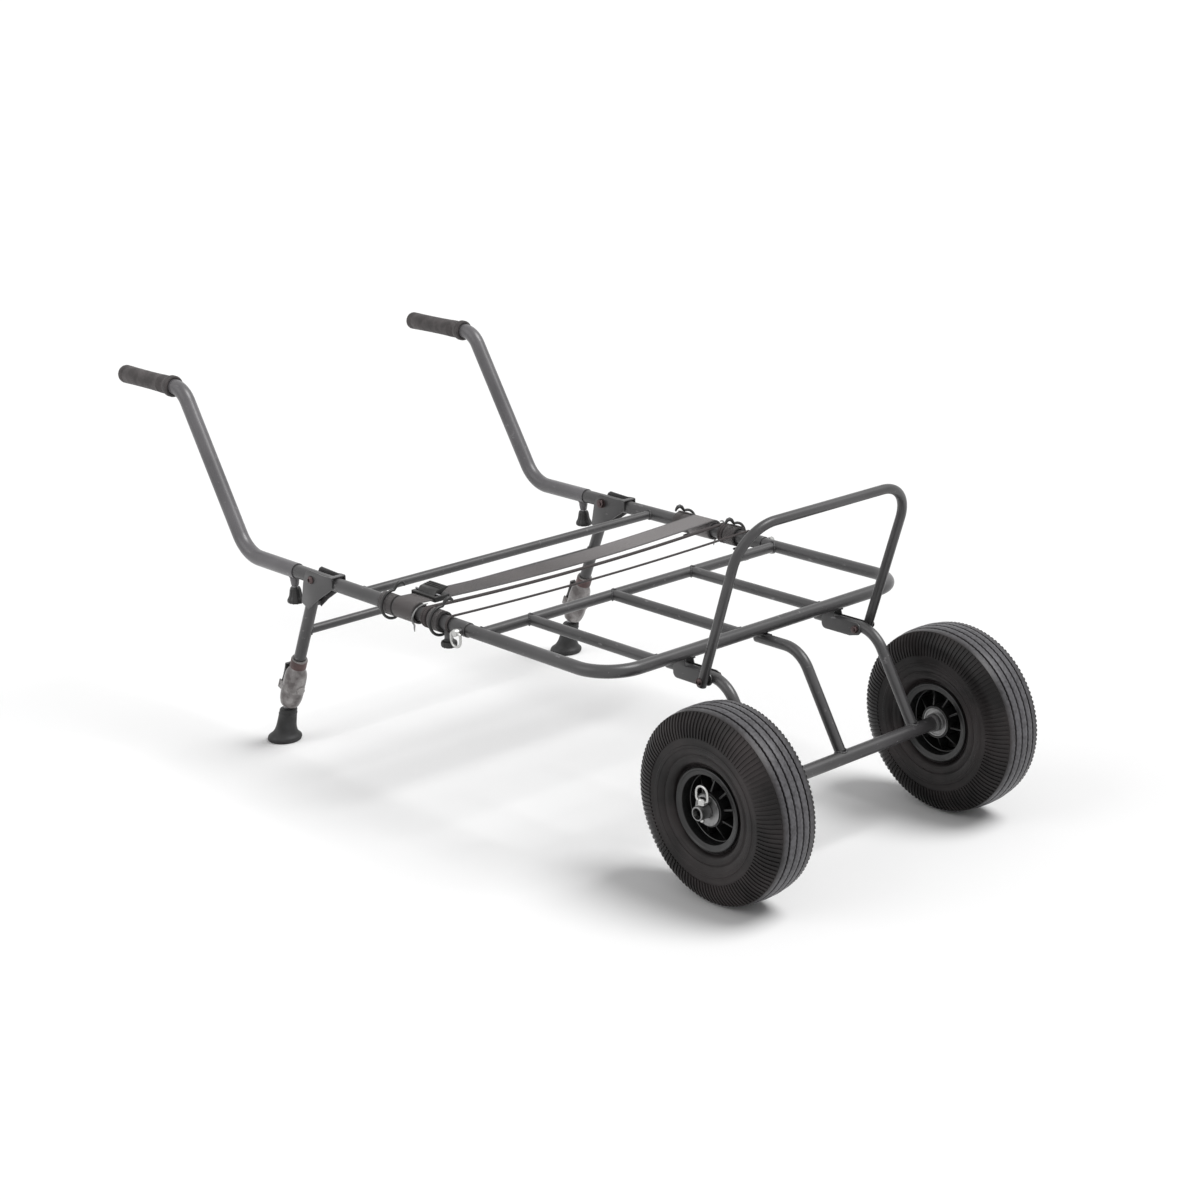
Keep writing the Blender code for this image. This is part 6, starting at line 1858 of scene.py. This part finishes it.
    def build(self) -> None:
        """Make both legs and their brace."""
        self.crosspiece()
        for side in Side:
            self.leg(side)
            self.clamp_body(side)
            self.lower(side)


@dataclass
class Straps:
    """Webbing, shock cords, hooks and buckle between the rails."""

    web_y: float = 0.580
    web: float = 0.0014
    web_turns: float = 2.25
    web_rise: float = 0.0161
    web_sag: float = 0.009
    map_half: float = 0.0235
    spare: Pair = (0.6072, 0.6396)
    wrap: Pair = (0.4996, 0.5222)
    cord: float = 0.0025
    cord_y: float = 0.537
    cord_pitch: float = 0.0056
    thin: float = 0.00175
    thin_y: float = 0.4805
    seat: float = 0.0004
    wire: float = 0.0022
    buckle_x: Pair = (-0.276, -0.248)
    tail_turns: float = 2.6
    tail_rise: float = 0.0165
    roll_hook_y: float = 0.622
    wrap_hook_y: float = 0.5075
    hook_reach: float = 0.0213
    shank_y: float = 0.5400
    shank_reach: float = 0.0186

    def coil(self, side: Side, turns: float, rise: float, steps: int = 28) -> list[tuple[Vector, Vector]]:
        """Middle line of webbing wound round a rail, free end first.

        Args:
            side: The side.
            turns: Number of turns, ending on top of the rail.
            rise: Height of its end above the rail's middle.
            steps: Steps in a turn.

        Returns:
            Points and outward normals, with y at zero.
        """
        first = LAYOUT.rail + self.seat + self.web / 2
        line = []
        for step in range(round(turns * steps) + 1):
            share = step / (turns * steps)
            angle = QUARTER - (1 - share) * turns * 2 * math.pi
            normal = Vector((side.value * math.cos(angle), 0.0, math.sin(angle)))
            radius = first + (rise - first) * share
            line.append((Vector((side.rail, 0.0, LAYOUT.rail_z)) + normal * radius, normal))
        return line

    def strip(self, name: str, line: Sequence[tuple[Vector, Vector]], low: float, high: float) -> Piece:
        """Loft flat webbing with thin selvedges along a line.

        Args:
            name: The piece's name.
            line: Points and normals of its middle line.
            low: Front edge.
            high: Rear edge.

        Returns:
            The webbing.
        """
        half, wide = self.web / 2, (high - low) / 2
        columns = [(-1.0, 0.35), (-0.97, 0.85), (-0.90, 1.0), (-0.45, 0.94), (0.0, 0.98)]
        columns += [(0.45, 0.94), (0.90, 1.0), (0.97, 0.85), (1.0, 0.35)]
        section = columns + flipped(columns)
        shape = bmesh.new()
        rings, lengths = [], [0.0]
        for number, (point, normal) in enumerate(line):
            middle = point + Vector((0.0, (low + high) / 2, 0.0))
            places = [middle + Vector((0.0, a * wide, 0.0)) + normal * (b * half) for a, b in section]
            rings.append([shape.verts.new(place) for place in places])
            if number:
                lengths.append(lengths[-1] + (point - line[number - 1][0]).length)
        marks = [across * self.map_half for across, _ in section + section[:1]]
        Bench.skin(shape, rings, marks, lengths, False)
        bmesh.ops.recalc_face_normals(shape, faces=shape.faces[:])
        return Bench.adopt(shape, name)

    def span(self, start: Vector, end: Vector, sag: float, steps: int = 40) -> list[tuple[Vector, Vector]]:
        """Line across the deck that hangs a little in the middle.

        Args:
            start: Its first point.
            end: Its last point.
            sag: How far the middle hangs.
            steps: Number of steps.

        Returns:
            Points and normals between both, without the ends.
        """
        line = []
        for step in range(1, steps):
            share = step / steps
            drop = sag * 4 * share * (1 - share)
            tilt = 0.05 * math.sin(share * 2 * math.pi)
            normal = Vector((0.0, tilt, 1.0)).normalized()
            line.append((start.lerp(end, share) - Vector((0.0, 0.0, drop)), normal))
        return line

    def webbing(self) -> None:
        """Wind the webbing round both rails and stretch it across the deck."""
        near = self.coil(Side.RIGHT, self.web_turns, self.web_rise)
        far = self.coil(Side.LEFT, self.web_turns, self.web_rise)
        line = near + self.span(near[-1][0], far[-1][0], self.web_sag) + far[::-1]
        half = LAYOUT.web_width / 2
        web = self.strip("strap_web_look", line, self.web_y - half, self.web_y + half)
        Bench.settle(web, STRAP_WEB, "rear_frame", "strap_web", sharp=60.0)
        for side in Side:
            for name, edges in (("tail", self.spare), ("wrap", self.wrap)):
                roll = self.coil(side, self.tail_turns, self.tail_rise)
                piece = self.strip(f"strap_{name}_{side.word}", roll, *edges)
                Bench.settle(piece, STRAP_WEB, "rear_frame", sharp=60.0)

    def turns(self, side: Side, radius: float, turns: float, pitch: float, y: float) -> list[Vector]:
        """Cord wound round a rail, free end first, leaving on top.

        Args:
            side: The side.
            radius: The cord's radius.
            turns: Number of turns.
            pitch: Step along the rail in a turn.
            y: Where it leaves.

        Returns:
            Its middle line.
        """
        reach = LAYOUT.rail + self.seat + radius
        count = round(turns * 32)
        line = []
        for step in range(count + 1):
            back = (count - step) / 32
            angle = QUARTER - back * 2 * math.pi
            x = side.value * (LAYOUT.rail_x + reach * math.cos(angle))
            line.append(Vector((x, y - back * pitch, LAYOUT.rail_z + reach * math.sin(angle))))
        return line

    def cords(self) -> None:
        """Wind both shock cords round the rails and stretch them across the deck."""
        wound = (
            ("strap_cord_rear", self.cord, 2.0, self.cord_pitch, self.cord_y, 0.0075),
            ("strap_cord_front", self.thin, 2 / 3, 0.0, self.thin_y, 0.0055),
        )
        for name, radius, loops, pitch, y, sag in wound:
            near = self.turns(Side.RIGHT, radius, loops, pitch, y)
            far = self.turns(Side.LEFT, radius, loops, pitch, y)
            line = near + [point for point, _ in self.span(near[-1], far[-1], sag)] + far[::-1]
            cord = Bench.sweep(name + "_look", line, [radius], 16)
            Bench.settle(cord, STRAP_CORD, "rear_frame", name, sharp=60.0)

    def hooks(self, side: Side) -> None:
        """Bend one side's hooks: over the roll, over the wrap, and the bright one between.

        Args:
            side: The side.
        """
        x, z, sign, wire = side.rail, LAYOUT.rail_z, side.value, self.wire
        node = f"strap_hook_{side.word}"
        crest = ((0.0228, 0.0236, 0.6), (0.0212, 0.0268, 1.0), (0.0176, 0.0298, 1.35))
        crest += ((0.0130, 0.0303, 1.45), (0.0086, 0.0280, 1.3), (0.0055, 0.0240, 1.1))
        wrap_hook = (f"strap_hook_wrap_{side.word}", self.wrap_hook_y, [])
        for name, y, replaced in ((node + "_look", self.roll_hook_y, [node]), wrap_hook):
            line = [(x - sign * a, y, z + b) for a, b, _ in crest]
            line += [(x + sign * a, y, z + b) for a, b in arc(self.hook_reach, 98.0, -104.0, 20)]
            radii = [wire * share for _, _, share in crest]
            radii += [wire] * (len(line) - len(crest) - 1) + [wire * 0.7]
            hook = Bench.sweep(name, line, radii, 14)
            Bench.settle(hook, BLACK_PLASTIC, "rear_frame", *replaced, sharp=60.0)
        line, reach = [], self.shank_reach
        for step, angle in enumerate((1.75, 1.25, 0.75, 0.25, -0.25, -0.75, -1.15)):
            y = self.shank_y + 0.0035 * step
            line.append((x + sign * reach * math.cos(angle), y, z + reach * math.sin(angle)))
        line += [(x + sign * 0.0070, 0.5640, z - 0.0215), (x + sign * 0.0062, 0.5640, z - 0.0290)]
        radii = [0.0010] + [0.0015] * (len(line) - 2) + [0.0007]
        shank = Bench.sweep(f"strap_shank_{side.word}", line, radii, 14)
        Bench.modify(shank, "SUBSURF", levels=1, render_levels=1)
        Bench.settle(shank, DULL_STEEL, "rear_frame", sharp=60.0)

    def buckle(self) -> None:
        """Make the cam buckle with its ribbed lever and pin."""
        (low, high), y = self.buckle_x, self.web_y
        middle = LAYOUT.rail_z + self.web_rise - 0.0004
        wide = LAYOUT.web_width / 2 + 0.0033
        start, stop = (low, y - wide, middle - 0.0042), (high, y + wide, middle + 0.0042)
        body = Bench.box("strap_buckle_look", start, stop, 0.0011)
        reach = LAYOUT.web_width / 2 + 0.0003
        start, stop = (low - 0.002, y - reach, middle - 0.0013), (high + 0.002, y + reach, middle + 0.0013)
        Bench.cut(body, Bench.box("slot", start, stop))
        reach = 0.0225
        start, stop = (low + 0.0050, y - reach, middle), (high - 0.0110, y + reach, middle + 0.01)
        Bench.cut(body, Bench.box("window", start, stop))
        half = LAYOUT.web_width * 0.4
        outline = [(low + 0.0040, 0.0012), (low + 0.0100, 0.0105), (low + 0.0160, 0.0116)]
        outline += [(high + 0.0010, 0.0136), (high + 0.0036, 0.0130), (high + 0.0040, 0.0112)]
        outline += [(high - 0.0060, 0.0060), (high - 0.0100, 0.0030)]
        corners = [(x, y - half, middle + up) for x, up in outline]
        lever = Bench.slab("lever", corners, (0.0, 2 * half, 0.0), 0.0007)
        grips, reach = [], half - 0.002
        for step in range(3):
            x, z = low + 0.0180 + 0.0042 * step, middle + 0.0124 + 0.0006 * step
            grips.append(Bench.rod("grip", (x, y - reach, z), (x, y + reach, z), 0.0008, 12))
        Bench.settle(Bench.unite(body, lever, *grips), BLACK_PLASTIC, "rear_frame", "strap_buckle")
        x, z, reach = low + 0.0095, middle + 0.0052, wide + 0.0004
        pin = Bench.rod("buckle_pin", (x, y - reach, z), (x, y + reach, z), 0.0014, 24, 0.0003)
        Bench.settle(pin, TUBE_STEEL, "rear_frame")

    def build(self) -> None:
        """Make the straps with their hooks and buckle."""
        self.webbing()
        self.cords()
        for side in Side:
            self.hooks(side)
        self.buckle()


@dataclass
class Studio:
    """Plain floor, soft lamps and the camera at the photograph's angle."""

    place: Point = (-2.309, -2.7058, 1.364)
    azimuth: float = -41.52
    elevation: float = 17.61
    roll: float = -1.57
    lens: float = 71.95
    floor_size: float = 80.0
    glow: float = 0.42
    key: tuple[float, float, float, float] = (2.30, 30.0, 40.0, 60.0)
    fill: tuple[float, float, float, float] = (0.45, 40.0, -110.0, 35.0)

    def camera(self) -> None:
        """Add the camera and make it the scene's own."""
        data = bpy.data.cameras.new("studio_camera")
        data.sensor_width = 36.0
        data.lens = self.lens
        camera = bpy.data.objects.new("studio_camera", data)
        bpy.context.scene.collection.objects.link(camera)
        azimuth, elevation = math.radians(self.azimuth), math.radians(self.elevation)
        level = math.cos(elevation)
        ahead = Vector((math.sin(-azimuth) * level, math.cos(azimuth) * level, -math.sin(elevation)))
        turn = ahead.to_track_quat("-Z", "Y").to_matrix() @ Matrix.Rotation(math.radians(self.roll), 3, "Z")
        camera.matrix_world = Matrix.Translation(self.place) @ turn.to_4x4()
        bpy.context.scene.camera = camera

    def floor(self) -> None:
        """Add the pale floor, which is white to the camera and keeps the shadow."""
        Bench.clear()
        bpy.ops.mesh.primitive_plane_add(size=self.floor_size, location=(0.0, 0.0, -0.0005))
        plane = Bench.done("studio_floor")
        graph = Graph("studio_floor")
        graph.give("Base Color", (0.93, 0.93, 0.93, 1.0))
        graph.give("Roughness", 1.0)
        graph.give("Specular IOR Level", 0.0)
        plane.data.materials.append(graph.material)

    def lamps(self) -> None:
        """Add the world's even light, which is white where it is seen, and two broad, soft suns."""
        world = bpy.data.worlds.new("studio_world")
        world.use_nodes = True
        nodes, links = world.node_tree.nodes, world.node_tree.links
        light, seen = nodes["Background"], nodes.new("ShaderNodeBackground")
        for background, strength in ((light, self.glow), (seen, 1.0)):
            background.inputs["Color"].default_value = (1.0, 1.0, 1.0, 1.0)
            background.inputs["Strength"].default_value = strength
        rays = nodes.new("ShaderNodeLightPath")
        mixed = nodes.new("ShaderNodeMixShader")
        white = rays.outputs["Is Camera Ray"]
        for kind in ("Is Glossy Ray", "Is Transmission Ray"):
            either = nodes.new("ShaderNodeMath")
            either.operation = "MAXIMUM"
            links.new(white, either.inputs[0])
            links.new(rays.outputs[kind], either.inputs[1])
            white = either.outputs[0]
        for number, socket in enumerate((white, light.outputs[0], seen.outputs[0])):
            links.new(socket, mixed.inputs[number])
        links.new(mixed.outputs[0], nodes["World Output"].inputs["Surface"])
        bpy.context.scene.world = world
        for name, (strength, spread, azimuth, height) in (("key", self.key), ("fill", self.fill)):
            data = bpy.data.lights.new("studio_" + name, "SUN")
            data.energy = strength
            data.angle = math.radians(spread)
            lamp = bpy.data.objects.new("studio_" + name, data)
            bpy.context.scene.collection.objects.link(lamp)
            around, up = math.radians(azimuth), math.radians(height)
            level = math.cos(up)
            source = Vector((math.sin(around) * level, -math.cos(around) * level, math.sin(up)))
            lamp.rotation_euler = source.to_track_quat("Z", "Y").to_euler()

    def build(self) -> None:
        """Set up the camera, the floor, the lamps and the plain view transform."""
        self.camera()
        self.floor()
        self.lamps()
        bpy.context.scene.view_settings.view_transform = "Standard"


def dress_nodes() -> None:
    """Give each CAD node the material of its slot, for those that are still shown."""
    shown = (
        FRAME_PAINT, HANDLE_PAINT, TYRE_RUBBER, TUBE_RUBBER, RIM_PLASTIC, GRIP_RUBBER, FOOT_RUBBER,
        BLACK_PLASTIC, CLAMP_PLASTIC_PAINTED_GLINTS, BRIGHT_STEEL, TUBE_STEEL,
    )
    finishes = {finish.name: finish for finish in shown} | {"strap_fabric": BLACK_PLASTIC}
    for part in frame["record"]["subparts"]:
        mesh = frame["nodes"][part["node"]].data
        mesh.materials.clear()
        mesh.materials.append(finishes[part["material_slot"]].material())


def main() -> None:
    """Build the studio and every sub-assembly in order."""
    logging.basicConfig(level=logging.INFO, format="%(name)s: %(message)s")
    Studio().build()
    dress_nodes()
    for part in (Wheel(), AxleGear(), FrontSection(), Guard(), RearSection(), Handle(), Leg(), Straps()):
        LOG.info("building %s", type(part).__name__)
        part.build()
    LOG.info("%d new pieces", Bench.made)


if __name__ == "__main__":
    main()
